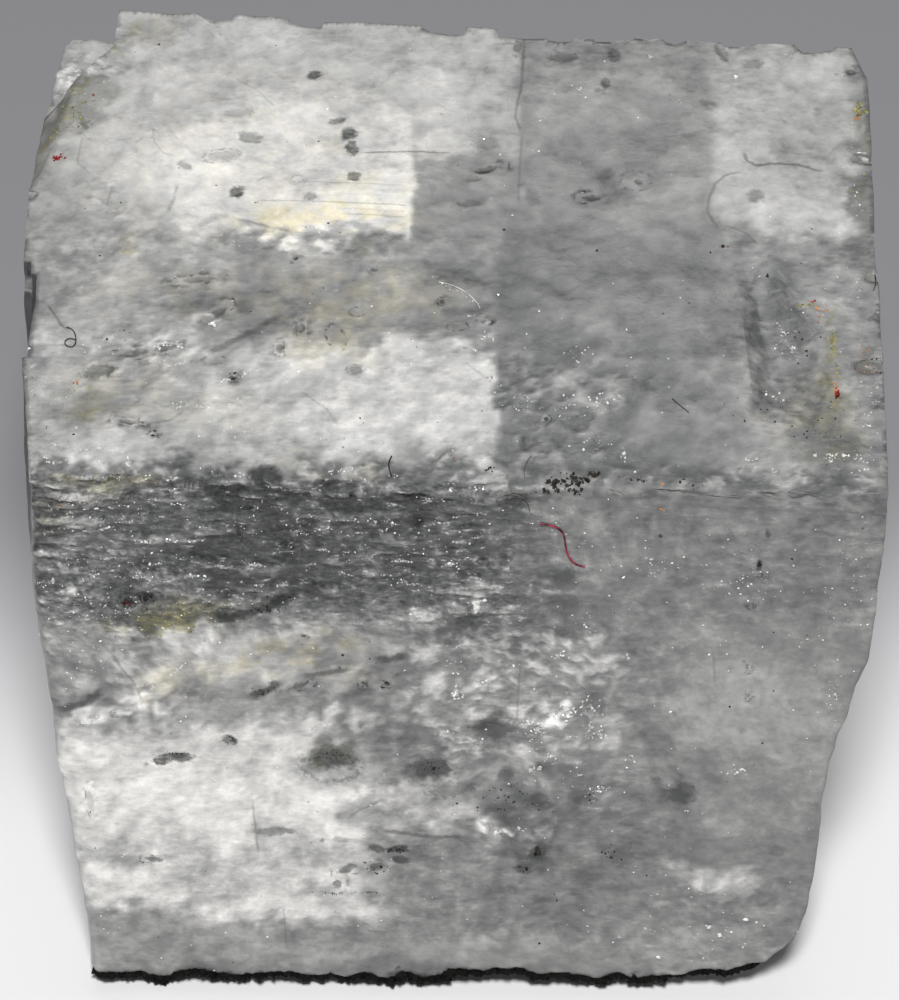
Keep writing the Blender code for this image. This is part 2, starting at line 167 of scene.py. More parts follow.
# Dark specks, stains and clear windows: place, half sizes, turn in degrees, darkness.
TOP_SPECKS = (
    (-4.3, 7.6, 0.24, 0.26, 0, 0.75), (-3.2, 4.85, 0.27, 0.30, 0, 0.85), (-3.1, 4.2, 0.21, 0.42, 5, 0.70),
    (-3.0, 2.8, 0.22, 0.26, 0, 0.65), (-3.55, 5.45, 0.28, 0.16, 15, 0.55),
    (-6.5, 2.1, 0.24, 0.27, 0, 0.80), (-4.3, 1.8, 0.22, 0.22, 0, 0.40),
    (-6.2, 4.6, 0.45, 0.26, -20, 0.45), (-7.0, 3.7, 0.55, 0.26, 15, 0.28),
    (-8.1, 3.2, 0.27, 0.16, -25, 0.40), (-9.5, 6.3, 0.32, 0.5, 0, 0.18), (-6.6, 5.8, 0.5, 0.2, 0, 0.25),
    (-1.5, 8.2, 0.3, 0.2, 0, 0.25), (1.0, 3.1, 0.42, 0.18, 20, 0.75), (0.6, 2.7, 0.3, 0.15, 0, 0.40),
    (4.15, 1.85, 0.28, 0.18, 0, 0.70), (0.5, 1.6, 0.5, 0.2, 10, 0.35), (1.0, 4.3, 0.45, 0.3, 0, 0.30),
    (2.4, 1.9, 0.25, 0.5, 0, 0.25), (3.4, 8.5, 0.5, 0.3, 0, 0.45), (5.0, 8.6, 0.2, 0.4, 0, 0.50),
    (8.35, 8.8, 0.18, 0.45, 20, 0.50), (6.8, 9.5, 0.25, 0.12, 30, 0.45), (12.3, 7.75, 0.2, 0.14, 0, 0.6),
    (7.8, 6.3, 0.3, 0.2, 0, 0.30), (4.7, 7.2, 0.16, 0.26, 0, 0.55), (9.1, 1.9, 0.32, 0.3, 0, 0.45),
    (9.3, 8.2, 0.35, 0.25, 0, 0.30), (-10.2, -5.8, 0.6, 0.3, 10, 0.60), (-9.2, -5.1, 0.5, 0.16, 10, 0.45),
    (-8.3, -4.9, 0.32, 0.16, 5, 0.55), (-6.9, -3.4, 0.16, 0.45, -35, 0.45),
    (-7.5, -1.9, 0.5, 0.12, 10, 0.4), (-6.1, -3.0, 0.3, 0.35, 0, 0.35), (2.0, 9.0, 0.15, 0.3, 0, 0.4),
    (-2.35, -1.5, 0.08, 0.08, 0, 0.8), (-4.65, -1.0, 0.08, 0.08, 0, 0.7), (-0.3, -2.8, 0.08, 0.1, 0, 0.7),
    (-6.3, -6.1, 0.11, 0.11, 0, 0.9), (-8.5, -8.5, 0.07, 0.07, 0, 0.8), (2.7, -7.8, 0.08, 0.08, 0, 0.8),
    (-4.4, -4.0, 0.12, 0.2, 0, 0.5), (-5.0, -4.9, 0.12, 0.2, 0, 0.45), (-2.8, -5.8, 0.3, 0.2, 0, 0.5),
    (0.9, -3.7, 0.1, 0.08, 0, 0.5), (5.6, 2.55, 0.14, 0.16, 0, 0.45), (-11.3, 5.2, 0.12, 0.4, 15, 0.45),
    (-10.8, 2.4, 0.3, 0.3, 0, 0.22), (7.3, 7.0, 0.3, 0.22, 0, 0.25), (-9.2, -8.0, 0.3, 0.1, -10, 0.55),
    (2.2, -8.8, 0.35, 0.4, 0, 0.3), (3.1, -6.8, 0.5, 0.3, 0, 0.25), (4.3, -8.0, 0.3, 0.35, 0, 0.3),
    (1.9, -6.2, 0.3, 0.3, 0, 0.25),
)
FRONT_SPECKS = (
    (-8.8, 17.5, 0.35, 0.26, -10, 0.90), (-9.3, 17.35, 0.24, 0.20, 0, 0.85),
    (-6.4, 17.0, 0.5, 0.24, 0, 0.4), (-5.3, 17.4, 0.9, 0.22, 25, 0.6), (-3.6, 10.95, 0.72, 0.45, 0, 0.66),
    (-0.6, 10.6, 0.60, 0.55, 0, 0.62), (-6.6, 11.7, 0.25, 0.25, 0, 0.68),
    (-8.2, 10.9, 0.58, 0.20, 3, 0.95), (-8.7, 10.7, 0.26, 0.16, 0, 0.70),
    (-2.3, 6.9, 0.26, 0.22, 0, 0.65), (-1.6, 6.9, 0.35, 0.22, 10, 0.75), (-1.6, 6.4, 0.3, 0.18, -20, 0.7),
    (-2.3, 6.0, 0.28, 0.2, 30, 0.65), (-3.2, 5.9, 0.35, 0.16, 35, 0.6), (-3.5, 5.2, 0.16, 0.2, 20, 0.55),
    (-9.1, 6.2, 0.25, 0.12, 0, 0.55), (-5.4, 7.5, 0.7, 0.2, 0, 0.45), (-3.4, 7.3, 0.3, 0.15, 0, 0.3),
    (2.6, 6.75, 0.25, 0.46, 0, 0.85), (2.2, 6.0, 0.32, 0.26, -15, 0.55), (6.95, 9.6, 0.42, 0.55, 0, 0.45),
    (5.2, 6.7, 0.4, 0.6, 0, 0.35), (9.9, 7.0, 0.3, 0.3, 0, 0.25), (0.2, 16.8, 0.7, 0.65, 0, 0.40),
    (3.2, 18.6, 0.4, 0.5, 0, 0.40), (3.2, 17.6, 0.5, 0.5, 0, 0.30), (4.2, 13.5, 0.4, 0.5, 0, 0.35),
    (1.2, 12.4, 0.75, 0.55, 0, 0.50), (0.0, 9.6, 0.8, 0.35, 15, 0.45), (-4.3, 16.2, 0.08, 0.08, 0, 0.6),
    (-1.9, 14.2, 0.09, 0.1, 0, 0.9), (-2.6, 14.2, 0.06, 0.06, 0, 0.8), (8.75, 19.4, 0.09, 0.25, 0, 0.75),
    (8.95, 20.6, 0.08, 0.16, 0, 0.55), (8.7, 17.7, 0.09, 0.12, 0, 0.5), (8.6, 15.2, 0.06, 0.12, 0, 0.35),
    (8.7, 14.0, 0.06, 0.12, 0, 0.35), (2.6, 9.2, 0.4, 0.3, 0, 0.4), (3.9, 9.4, 0.45, 0.35, 0, 0.35),
    (1.5, 8.8, 0.4, 0.3, 0, 0.35), (1.6, 10.2, 0.3, 0.3, 0, 0.3), (4.8, 8.6, 0.4, 0.3, 0, 0.3),
    (-10.9, 8.9, 0.1, 0.5, 0, 0.2), (-4.5, 14.05, 0.3, 0.1, 20, 0.5), (-7.6, 13.7, 0.2, 0.14, 0, 0.3),
    (5.9, 20.4, 0.06, 0.06, 0, 0.7),
)

# Bubbles and small sealed pools in the salt, seen by their dark rims: place, half sizes, turn, darkness.
TOP_BUBBLES = (
    (5.5, 2.6, 0.52, 0.50, 0, 0.40), (-2.75, -3.3, 0.30, 0.20, 0, 0.70),
    (-3.4, -4.4, 0.28, 0.62, 15, 0.60), (0.15, -3.9, 0.34, 0.22, 5, 0.65),
    (-2.85, -5.8, 0.24, 0.22, 0, 0.50), (-7.05, 3.7, 0.62, 0.34, 15, 0.35),
    (-9.3, 4.1, 0.42, 0.45, 0, 0.22), (-10.3, 4.0, 0.30, 0.30, 0, 0.15), (-4.7, 2.7, 0.20, 0.18, 0, 0.40),
    (-6.9, -5.4, 0.38, 0.20, 10, 0.45), (2.1, -6.2, 0.42, 0.30, 0, 0.35),
    (5.0, -6.6, 0.40, 0.60, 0, 0.30),
)
FRONT_BUBBLES = (
    (-3.6, 10.7, 0.95, 0.80, 0, 0.40), (-0.6, 10.5, 0.85, 0.75, 0, 0.35),
    (1.3, 12.2, 0.95, 0.75, 0, 0.30), (-2.4, 9.6, 0.50, 0.40, 0, 0.18), (0.3, 8.9, 1.00, 0.70, 10, 0.25),
)


def soft_step(values, start, end):
    """0 up to the start, 1 past the end, and smooth between them."""
    share = np.clip((values - start) / (end - start), 0, 1)
    return share * share * (3 - 2 * share)


def off_middle(across, along, middle_x, middle_y, half_wide, half_high, turn):
    """How far each place is from an oval's middle, where its rim is at 1."""
    turn = radians(turn)
    aside, ahead = across - middle_x, along - middle_y
    wide = (aside * cos(turn) + ahead * sin(turn)) / half_wide
    high = (ahead * cos(turn) - aside * sin(turn)) / half_high
    return np.hypot(wide, high)


def edge_for_ovals(across, along, ovals):
    """The longest edge that still draws the small ovals round each place."""
    allowed = np.full(across.shape, SHOWN_EDGE)
    for middle_x, middle_y, half_wide, half_high, turn, dark in ovals:
        reach = off_middle(across, along, middle_x, middle_y, half_wide, half_high, turn)
        smallest = min(half_wide, half_high)
        fine = max(FINEST_EDGE, smallest * OVAL_EDGE_SHARE)
        allowed = np.where(reach < 1 + fine / smallest, np.minimum(allowed, fine), allowed)
    return allowed


def places_of(obj):
    """The places of a mesh's points, in millimetres."""
    places = np.empty(len(obj.data.vertices) * 3)
    obj.data.vertices.foreach_get("co", places)
    return places.reshape(-1, 3) / MM


def pick_up(obj):
    """Makes one object the only chosen one, and the active one."""
    bpy.ops.object.select_all(action="DESELECT")
    obj.select_set(True)
    bpy.context.view_layer.objects.active = obj


def choose(obj, kind, chosen):
    """Opens a mesh for editing, with only its marked points or edges selected."""
    bpy.ops.object.mode_set(mode="EDIT")
    bpy.ops.mesh.select_mode(type=kind)
    bpy.ops.mesh.select_all(action="DESELECT")
    bpy.ops.object.mode_set(mode="OBJECT")
    parts = obj.data.edges if kind == "EDGE" else obj.data.vertices
    parts.foreach_set("select", chosen)
    bpy.ops.object.mode_set(mode="EDIT")


def split_long_edges(obj):
    """Halves every edge that is longer than its place allows. Returns how many there were."""
    places = places_of(obj)
    ends = np.empty(len(obj.data.edges) * 2, dtype=np.int64)
    obj.data.edges.foreach_get("vertices", ends)
    ends = ends.reshape(-1, 2)
    lengths = np.linalg.norm(places[ends[:, 0]] - places[ends[:, 1]], axis=1)
    across, deep, high = places[ends].mean(axis=1).T
    shown_top = high > RIDGE_HIGH - SHOWN_DEPTH
    shown_front = deep < RIDGE_DEEP + SHOWN_DEPTH
    off_shown = np.minimum(RIDGE_HIGH - SHOWN_DEPTH - high, deep - RIDGE_DEEP - SHOWN_DEPTH)
    allowed = np.clip(SHOWN_EDGE + EDGE_GROWTH * off_shown, SHOWN_EDGE, HIDDEN_EDGE)
    fine_top = edge_for_ovals(across, deep, TOP_SPECKS + TOP_BUBBLES)
    fine_front = edge_for_ovals(across, high, FRONT_SPECKS + FRONT_BUBBLES)
    allowed = np.where(shown_front, fine_front, allowed)
    allowed = np.where(shown_top, np.minimum(allowed, fine_top), allowed)
    chosen = lengths > allowed
    choose(obj, "EDGE", chosen)
    bpy.ops.mesh.subdivide(number_cuts=1)
    bpy.ops.mesh.select_all(action="SELECT")
    bpy.ops.mesh.quads_convert_to_tris(quad_method="SHORTEST_DIAGONAL", ngon_method="BEAUTY")
    bpy.ops.object.mode_set(mode="OBJECT")
    return chosen.sum()


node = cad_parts["halite_crystal"]
salt = bpy.data.objects.new("rock_salt_block", node.data.copy())
bpy.context.scene.collection.objects.link(salt)
pick_up(salt)
bpy.ops.object.mode_set(mode="EDIT")
bpy.ops.mesh.select_all(action="SELECT")
bpy.ops.mesh.remove_doubles(threshold=MERGE_WITHIN * MM)
bpy.ops.object.mode_set(mode="OBJECT")
for cut in range(GREATEST_CUTS):
    if split_long_edges(salt) == 0:
        break


def wear(obj, worn, rounds):
    """Rounds off the corners of a mesh where its points are marked as worn."""
    choose(obj, "VERT", worn)
    bpy.ops.mesh.vertices_smooth(factor=0.5, repeat=rounds)
    bpy.ops.object.mode_set(mode="OBJECT")


# The left front corner, the foot, the pit's walls and the back corners are worn round, the ridge only a
# little. The numbers are how often the points move towards their neighbours.
CORNER_WEAR, PIT_WEAR, BACK_WEAR, RIDGE_WEAR = 14, 18, 8, 3
CORNER_LEFT, CORNER_TOP, FOOT_TOP, WORN_DEPTH = -10.4, 20.5, 1.7, 1.0
PIT_LEFT, PIT_RIGHT, PIT_FRONT, PIT_BACK, PIT_DEPTH = 7.4, 11.6, -9.0, 0.2, 3.0
FOOT_DEPTH, FOOT_LOW, RIDGE_WORN = 0.9, 0.1, 0.6
BACK_ACROSS, BACK_DEEP, BACK_LOW, BACK_HIGH = 10.6, 7.5, 0.6, 21.0
across, deep, high = places_of(salt).T
on_corner = (deep < RIDGE_DEEP + WORN_DEPTH) & (high < CORNER_TOP) & (across < CORNER_LEFT)
on_foot = (deep < RIDGE_DEEP + FOOT_DEPTH) & (high > FOOT_LOW) & (high < FOOT_TOP)
in_pit = (high > RIDGE_HIGH - PIT_DEPTH) & (across > PIT_LEFT) & (across < PIT_RIGHT)
in_pit &= (deep > PIT_FRONT) & (deep < PIT_BACK)
wear(salt, on_corner | on_foot, CORNER_WEAR)
wear(salt, in_pit, PIT_WEAR)
on_back_corner = (np.abs(across) > BACK_ACROSS) & (deep > BACK_DEEP) & (high > BACK_LOW) & (high < BACK_HIGH)
wear(salt, on_back_corner, BACK_WEAR)
wear(salt, (deep < RIDGE_DEEP + RIDGE_WORN) & (high > RIDGE_HIGH - RIDGE_WORN), RIDGE_WEAR)

# The block's low relief and its tones, worked out point by point. Cloudiness runs from 0.2, clear and
# dark, to 1, milky white; the rest are shares of cream, clay, dirt and frost.
DARK, CLEAR, SMOKY, HAZY, PALE, MILKY, WHITE = 0.28, 0.38, 0.50, 0.60, 0.70, 0.78, 0.87
TOP_GREY, FRONT_GREY, HIDDEN_GREY = 0.55, 0.52, 0.66

# Milky and clear patches: left, right, low and high edges, how soft each edge is, and cloudiness.
TOP_PATCHES = (
    (-13.0, 2.0, 3.4, 12.0, (0.5, 0.15, 0.8, 0.5), PALE),
    (2.0, 8.2, 0.4, 12.0, (0.15, 1.0, 1.2, 0.5), HAZY),
    (-13.0, -1.2, -0.4, 4.2, (0.5, 0.07, 0.5, 0.8), PALE),
    (-10.5, 0.5, 1.5, 8.5, (1.5, 1.2, 1.2, 1.5), MILKY),
    (-8.5, -1.25, 0.3, 6.0, (1.2, 0.07, 0.5, 1.2), WHITE),
    (-1.15, 2.0, -1.0, 3.6, (0.05, 0.5, 0.8, 0.6), HAZY),
    (7.9, 12.3, 0.2, 9.5, (0.3, 0.3, 0.3, 0.6), PALE),
    (-12.6, -0.8, -4.4, -0.3, (0.3, 0.6, 0.5, 0.15), HAZY),
    (-12.4, -8.5, -9.6, -4.2, (0.3, 1.2, 0.4, 0.8), PALE),
    (-9.5, 1.25, -9.6, -4.6, (1.6, 0.06, 0.4, 0.5), PALE),
    (-5.6, 1.25, -9.0, -4.9, (0.8, 0.06, 0.7, 0.7), MILKY),
    (1.35, 8.3, -10.2, 0.2, (0.1, 0.8, 0.2, 1.0), SMOKY),
    (8.0, 12.0, -10.5, 0.2, (1.0, 0.4, 0.5, 0.5), HAZY),
    (8.9, 10.1, -3.4, -1.1, (0.15, 0.3, 0.2, 0.3), SMOKY),
    (8.7, 10.3, -7.1, -3.6, (0.15, 0.4, 0.5, 0.3), SMOKY),
)
FRONT_PATCHES = (
    (1.5, 12.5, 15.5, 22.6, (1.2, 0.5, 1.0, 0.3), SMOKY),
    (-13.0, 1.8, 17.6, 22.3, (0.5, 1.2, 0.5, 0.15), CLEAR),
    (-7.2, -0.3, 19.9, 22.1, (0.5, 0.9, 0.5, 0.15), DARK),
    (-7.2, -3.6, 17.9, 20.3, (0.4, 0.8, 0.3, 0.5), DARK),
    (-13.0, -7.0, 21.4, 22.6, (0.5, 0.6, 0.2, 0.2), SMOKY),
    (6.3, 11.5, 10.8, 16.8, (1.0, 0.8, 1.0, 0.8), HAZY),
    (-12.5, -3.0, 12.4, 16.6, (0.5, 1.0, 0.4, 0.5), HAZY),
    (-8.8, -1.9, 14.3, 16.6, (0.8, 0.8, 0.3, 0.4), PALE),
    (-12.5, -3.0, 6.2, 12.3, (0.5, 1.8, 0.8, 0.6), MILKY),
    (-11.2, -6.1, 7.4, 10.4, (0.8, 0.3, 0.8, 0.8), WHITE),
    (-5.8, -3.2, 7.6, 9.8, (0.1, 0.5, 0.5, 0.6), WHITE),
    (-3.0, 1.0, 8.0, 9.8, (0.5, 0.6, 0.3, 0.5), PALE),
    (-12.5, -2.0, 3.2, 6.6, (0.5, 1.5, 1.0, 0.6), PALE),
    (-11.6, -8.8, 4.2, 5.9, (0.5, 0.8, 0.6, 0.5), WHITE),
    (-1.0, 4.8, 11.0, 16.0, (0.8, 0.8, 0.8, 0.8), HAZY),
    (1.0, 5.2, 7.9, 10.6, (0.8, 0.8, 0.6, 0.8), SMOKY),
    (7.0, 9.6, 4.8, 6.2, (0.8, 0.5, 0.4, 0.4), PALE),
    (-13.0, 13.0, -1.0, 3.0, (0.5, 0.5, 0.3, 1.2), HAZY),
)

# Softer clouds of milk and of clear salt over them: place, half sizes, turn in degrees, and cloudiness.
TOP_CLOUDS = (
    # the whitest milk, the grey wedge in front of it, and its soft right-hand border
    (-4.5, 4.6, 2.6, 1.4, 0, WHITE), (-2.4, -0.6, 1.1, 0.35, 20, SMOKY), (0.6, 3.0, 1.4, 1.2, 0, HAZY),
    # the grey band's clear place with a white mark below it, and the stained corner in front
    (-7.2, -3.1, 0.9, 0.7, 0, SMOKY), (-7.0, -3.9, 0.35, 0.2, 0, WHITE), (-10.2, -7.3, 1.0, 0.9, 0, HAZY),
    # milk before the pit's side, and the grey strip along the ridge
    (-4.5, -7.6, 3.2, 1.3, 0, MILKY), (-2.6, -5.3, 0.8, 0.6, 0, MILKY), (-9.0, -10.1, 3.6, 0.6, 0, SMOKY),
    (-5.8, -10.2, 1.6, 0.5, 0, CLEAR), (-12.4, -4.6, 0.5, 1.6, 0, SMOKY),
    # the worn left corner, and two smudges on the clear right half
    (-11.4, 6.2, 1.0, 2.0, -15, HAZY), (5.0, -7.4, 0.35, 0.9, 0, CLEAR), (5.1, 2.7, 0.6, 0.5, 0, SMOKY),
    # the white corner of the right-hand milk, the dirty edge beside it, and the corner below the pit
    (10.2, 1.0, 2.0, 1.0, 0, MILKY), (12.4, 1.5, 0.35, 3.0, 0, SMOKY), (10.8, -8.2, 1.2, 1.6, 0, SMOKY),
)
FRONT_CLOUDS = (
    # the dark band's paler left end, the stained wedge below it, and the grey under that
    (-10.8, 19.2, 1.6, 0.9, 0, SMOKY), (-8.7, 17.0, 1.9, 0.8, 5, CLEAR), (-10.9, 15.4, 1.2, 0.9, 0, HAZY),
    # the tan patch, and the white streak that climbs to it
    (-4.2, 15.6, 2.0, 0.7, 5, HAZY), (-10.6, 12.7, 0.9, 0.3, 25, WHITE), (-9.2, 13.4, 0.9, 0.3, 35, WHITE),
    (-8.2, 14.5, 0.7, 0.4, 55, MILKY), (-10.9, 13.5, 0.5, 0.25, 15, SMOKY),
    # a white ledge with two stained hollows under it, and grey between the two white hearts
    (-3.6, 12.5, 1.4, 0.35, 8, MILKY), (-3.4, 11.2, 0.8, 0.6, 0, SMOKY), (-0.6, 10.7, 0.7, 0.5, 0, CLEAR),
    (-2.2, 8.6, 0.9, 0.4, 0, HAZY), (-1.5, 6.5, 1.1, 0.7, 0, SMOKY),
    # milk low on the left, the grey corner beside it, and the grey foot
    (-4.5, 5.6, 2.4, 0.6, 0, MILKY), (-4.8, 4.0, 3.2, 0.7, 0, MILKY), (-9.6, 3.0, 1.4, 1.0, 0, HAZY),
    (-3.0, 0.9, 9.0, 0.7, 0, SMOKY),
    # the struck middle: clear salt, with small white bruises
    (0.2, 16.9, 0.6, 0.7, 0, CLEAR), (3.0, 18.8, 0.5, 0.5, 0, CLEAR), (1.3, 12.7, 0.8, 0.4, -10, CLEAR),
    (2.4, 9.0, 1.2, 0.7, 0, CLEAR), (2.4, 7.2, 0.9, 0.8, 0, CLEAR), (4.9, 7.2, 0.9, 0.8, 0, SMOKY),
    (0.7, 17.7, 0.3, 0.3, 0, MILKY), (0.9, 14.4, 0.3, 0.3, 0, MILKY), (0.1, 13.9, 0.3, 0.5, 0, MILKY),
    (3.3, 12.9, 0.6, 0.5, 0, WHITE), (2.5, 12.3, 0.4, 0.4, 0, MILKY), (2.7, 10.7, 0.5, 0.4, 0, PALE),
    (1.4, 7.8, 0.4, 0.2, 0, MILKY),
    # the right-hand side: a clear oval, the plain grey low down, and a grey streak by the edge
    (6.9, 9.6, 0.35, 0.6, 0, CLEAR), (4.5, 4.2, 3.0, 1.5, 0, SMOKY), (10.2, 5.8, 0.5, 1.7, 0, SMOKY),
    (9.6, 9.6, 2.0, 2.6, 0, HAZY),
)

# Where the surface is crumbly, laid as the patches are.
TOP_CRUMBLY = (
    (-12.0, 1.6, -10.7, -9.6, (0.5, 0.5, 0.2, 0.3), 0.8),
    (1.5, 12.0, -10.7, -10.0, (0.5, 0.5, 0.2, 0.3), 0.6),
    (1.35, 4.8, -9.6, -5.6, (0.1, 0.6, 0.4, 0.8), 0.55),
    (-12.5, -10.8, 7.6, 9.8, (0.3, 0.4, 0.3, 0.3), 0.7),
    (-10.5, -7.5, -6.2, -4.4, (0.5, 0.6, 0.4, 0.3), 0.5),
    (-6.5, -1.3, -0.6, 0.6, (0.6, 0.2, 0.2, 0.3), 0.6),
    (-10.6, -9.6, 0.2, 2.6, (0.4, 0.5, 0.3, 0.6), 0.4),
)
FRONT_CRUMBLY = (
    (-1.2, 4.8, 10.8, 16.6, (0.8, 0.8, 0.8, 0.8), 0.75),
    (0.0, 1.8, 16.5, 19.8, (0.3, 0.6, 0.8, 0.8), 0.50),
    (0.8, 3.0, 7.0, 8.2, (0.3, 0.5, 0.3, 0.3), 0.60),
    (-12.0, -7.0, 15.6, 18.2, (0.5, 0.8, 0.5, 0.5), 0.55),
    (6.6, 9.6, 4.0, 5.6, (0.5, 0.8, 0.5, 0.5), 0.35),
    (-12.0, -8.0, 12.6, 15.6, (0.5, 0.8, 0.5, 0.5), 0.35),
)

# How gritty the faces are, laid as the patches are: the salt is cleanest at the back and on the right.
TOP_GRITTY = (
    (-13.0, 1.4, -10.8, 0.4, (0.5, 0.6, 0.2, 0.8), 0.50),
    (1.4, 9.0, -10.8, -3.5, (0.6, 1.0, 0.2, 1.5), 0.38),
    (8.2, 13.0, -10.8, 0.2, (0.5, 0.3, 0.2, 0.6), 0.62),
    (-6.0, 1.4, 0.6, 4.6, (0.8, 0.3, 0.5, 0.6), 0.22),
)
FRONT_GRITTY = (
    (-13.0, 6.4, 2.6, 17.2, (0.5, 1.2, 1.0, 1.0), 0.60),
    (-1.0, 13.0, 17.0, 22.3, (1.0, 0.5, 1.0, 0.2), 0.42),
    (5.0, 12.5, 1.0, 6.2, (1.0, 0.5, 0.5, 1.0), 0.45),
    (-13.0, -7.0, 0.5, 3.0, (0.5, 1.5, 0.3, 0.6), 0.35),
)

# Cream and yellow-green clay stains: middle, half sizes, turn in degrees, and strength.
TOP_CREAM = (
    (-4.0, 0.8, 3.2, 0.85, 0, 0.85), (-2.6, 2.2, 1.6, 1.2, 0, 0.35), (-9.3, 9.9, 0.6, 1.2, 0, 0.25),
    (-3.6, -3.9, 1.2, 0.9, 20, 0.30), (-7.0, -7.6, 2.0, 1.0, 0, 0.20), (-9.6, -0.2, 0.5, 0.7, 0, 0.50),
    (-3.0, -10.2, 2.5, 0.4, 0, 0.35), (-6.0, 3.5, 6.0, 4.5, 0, 0.18), (-3.0, -2.8, 3.2, 1.6, 0, 0.62),
    (-3.6, -4.6, 1.6, 1.2, 0, 0.42), (-7.5, -2.4, 4.0, 1.6, 0, 0.30), (-9.5, -6.6, 2.2, 1.6, 0, 0.34),
    (10.5, -7.8, 1.6, 2.2, 0, 0.45),
)
FRONT_CREAM = (
    (-4.6, 15.4, 2.2, 0.9, 10, 0.75), (-7.9, 14.4, 1.4, 0.8, 35, 0.45), (-7.5, 17.2, 1.2, 0.5, 0, 0.30),
    (-2.6, 14.6, 1.0, 0.5, 0, 0.30), (-10.5, 21.0, 1.6, 0.5, 5, 0.30),
)
TOP_CLAY = (
    (-12.2, 4.8, 0.40, 0.60, 0, 0.90), (-11.8, 5.9, 0.45, 0.60, -20, 0.75),
    (-11.3, 7.0, 0.40, 0.60, -20, 0.70), (-11.6, 6.0, 0.90, 1.70, -20, 0.40),
    (-12.6, 3.2, 0.25, 1.20, 0, 0.45), (-10.3, 9.6, 0.40, 1.10, -10, 0.55),
    (12.5, 5.9, 0.25, 0.50, 0, 0.95), (12.4, 3.6, 0.25, 3.00, 0, 0.45), (12.2, -1.0, 0.22, 2.20, 0, 0.30),
    (10.9, -8.2, 0.90, 1.20, 10, 0.50), (12.0, -5.5, 0.30, 0.60, 0, 0.45),
    (-10.2, -7.4, 0.60, 0.50, 10, 0.65), (-10.8, -6.5, 0.15, 0.18, 0, 0.75),
    (10.5, -2.95, 0.40, 0.16, -10, 0.80), (10.95, -3.6, 0.14, 0.60, -5, 0.75),
    (11.1, -5.0, 0.13, 0.80, -5, 0.90), (11.05, -6.3, 0.16, 0.60, 5, 0.95),
    (10.9, -7.2, 0.14, 0.50, 0, 0.70), (-3.0, -4.9, 0.18, 0.75, 5, 0.60),
    (-9.6, -0.5, 0.20, 0.50, 10, 0.50), (-2.3, -0.5, 0.9, 0.25, 35, 0.35), (1.1, 4.3, 0.4, 0.5, 0, 0.30),
    (-3.4, 4.5, 0.3, 0.7, 0, 0.40), (-4.5, -9.4, 0.6, 0.4, 0, 0.35),
)
FRONT_CLAY = (
    (-9.8, 22.0, 2.4, 0.50, 0, 0.60), (-8.2, 16.7, 1.80, 0.60, 8, 0.95),
    (-9.8, 16.6, 0.60, 0.40, 0, 0.55), (-6.9, 17.2, 0.50, 0.40, 0, 0.50),
    (-11.8, 20.3, 0.50, 0.90, 0, 0.30), (-3.6, 11.2, 0.80, 0.50, 0, 0.45),
    (-5.6, 16.0, 0.80, 0.35, 20, 0.35), (1.2, 12.4, 0.70, 0.50, 0, 0.30), (3.6, 6.3, 0.60, 0.40, 0, 0.25),
)

# How softly the marks and tones end.
FAR_OFF, CRACK_END, CRACK_REACH = 99.0, 0.3, (0.3, 0.6)
CLOUD_EDGE, STAIN_EDGE, HOLLOW_EDGE, STAIN_WANDER = (0.45, 1.35), (0.4, 1.3), (0.3, 1.2), 0.6


def field(places, cell, shift=0.0, octaves=3, stretch=(1.0, 1.0, 1.0)):
    """Natural variation, mostly between -1 and 1, in patches about one cell wide."""
    spread = places / (cell * np.array(stretch)) + shift
    return 2.8 * np.array([noise.fractal(Vector(place), 0.6, 2.0, octaves) for place in spread])


def inside(values, low, high, soft_low, soft_high):
    """1 between two edges, falling off softly across each of them."""
    above = soft_step(values, low - soft_low, low + soft_low)
    return above * (1 - soft_step(values, high - soft_high, high + soft_high))


def patch(across, along, left, right, low, high, soft):
    """1 on an upright patch of a face, with its four soft edges."""
    return inside(across, left, right, soft[0], soft[1]) * inside(along, low, high, soft[2], soft[3])


def blend(tones, towards, share):
    """Tones moved part of the way towards another tone."""
    return tones + (towards - tones) * share


def lay_patches(tones, across, along, patches):
    """Tones with each upright patch laid over the ones before it."""
    for left, right, low, high, soft, cloudiness in patches:
        tones = blend(tones, cloudiness, patch(across, along, left, right, low, high, soft))
    return tones


def lay_clouds(tones, across, along, clouds):
    """Tones with each soft oval laid over the ones before it."""
    for middle_x, middle_y, half_wide, half_high, turn, cloudiness in clouds:
        reach = off_middle(across, along, middle_x, middle_y, half_wide, half_high, turn)
        tones = blend(tones, cloudiness, 1 - soft_step(reach, *CLOUD_EDGE))
    return tones


def nearest_crack(across, along, cracks):
    """How far to one side of the nearest crack each place is, in half widths, and how dark it is there."""
    nearest = np.full(across.shape, FAR_OFF)
    offset = np.full(across.shape, FAR_OFF)
    strength = np.zeros(across.shape)
    for half_wide, dark, points in cracks:
        length = sum(np.hypot(b[0] - a[0], b[1] - a[1]) for a, b in zip(points, points[1:]))
        gone = 0.0
        for (start_x, start_y), (end_x, end_y) in zip(points, points[1:]):
            run_x, run_y = end_x - start_x, end_y - start_y
            run = np.hypot(run_x, run_y)
            aside, ahead = across - start_x, along - start_y
            share = np.clip((aside * run_x + ahead * run_y) / run**2, 0, 1)
            away = np.hypot(aside - share * run_x, ahead - share * run_y)
            side = np.sign(run_x * ahead - run_y * aside)
            closer = away < nearest
            from_end = np.minimum(gone + share * run, length - gone - share * run)
            faded = dark * soft_step(from_end, 0, CRACK_END) * (1 - soft_step(away, *CRACK_REACH))
            nearest = np.where(closer, away, nearest)
            offset = np.where(closer, side * away / half_wide, offset)
            strength = np.where(closer, faded, strength)
            gone += run
    return offset, strength


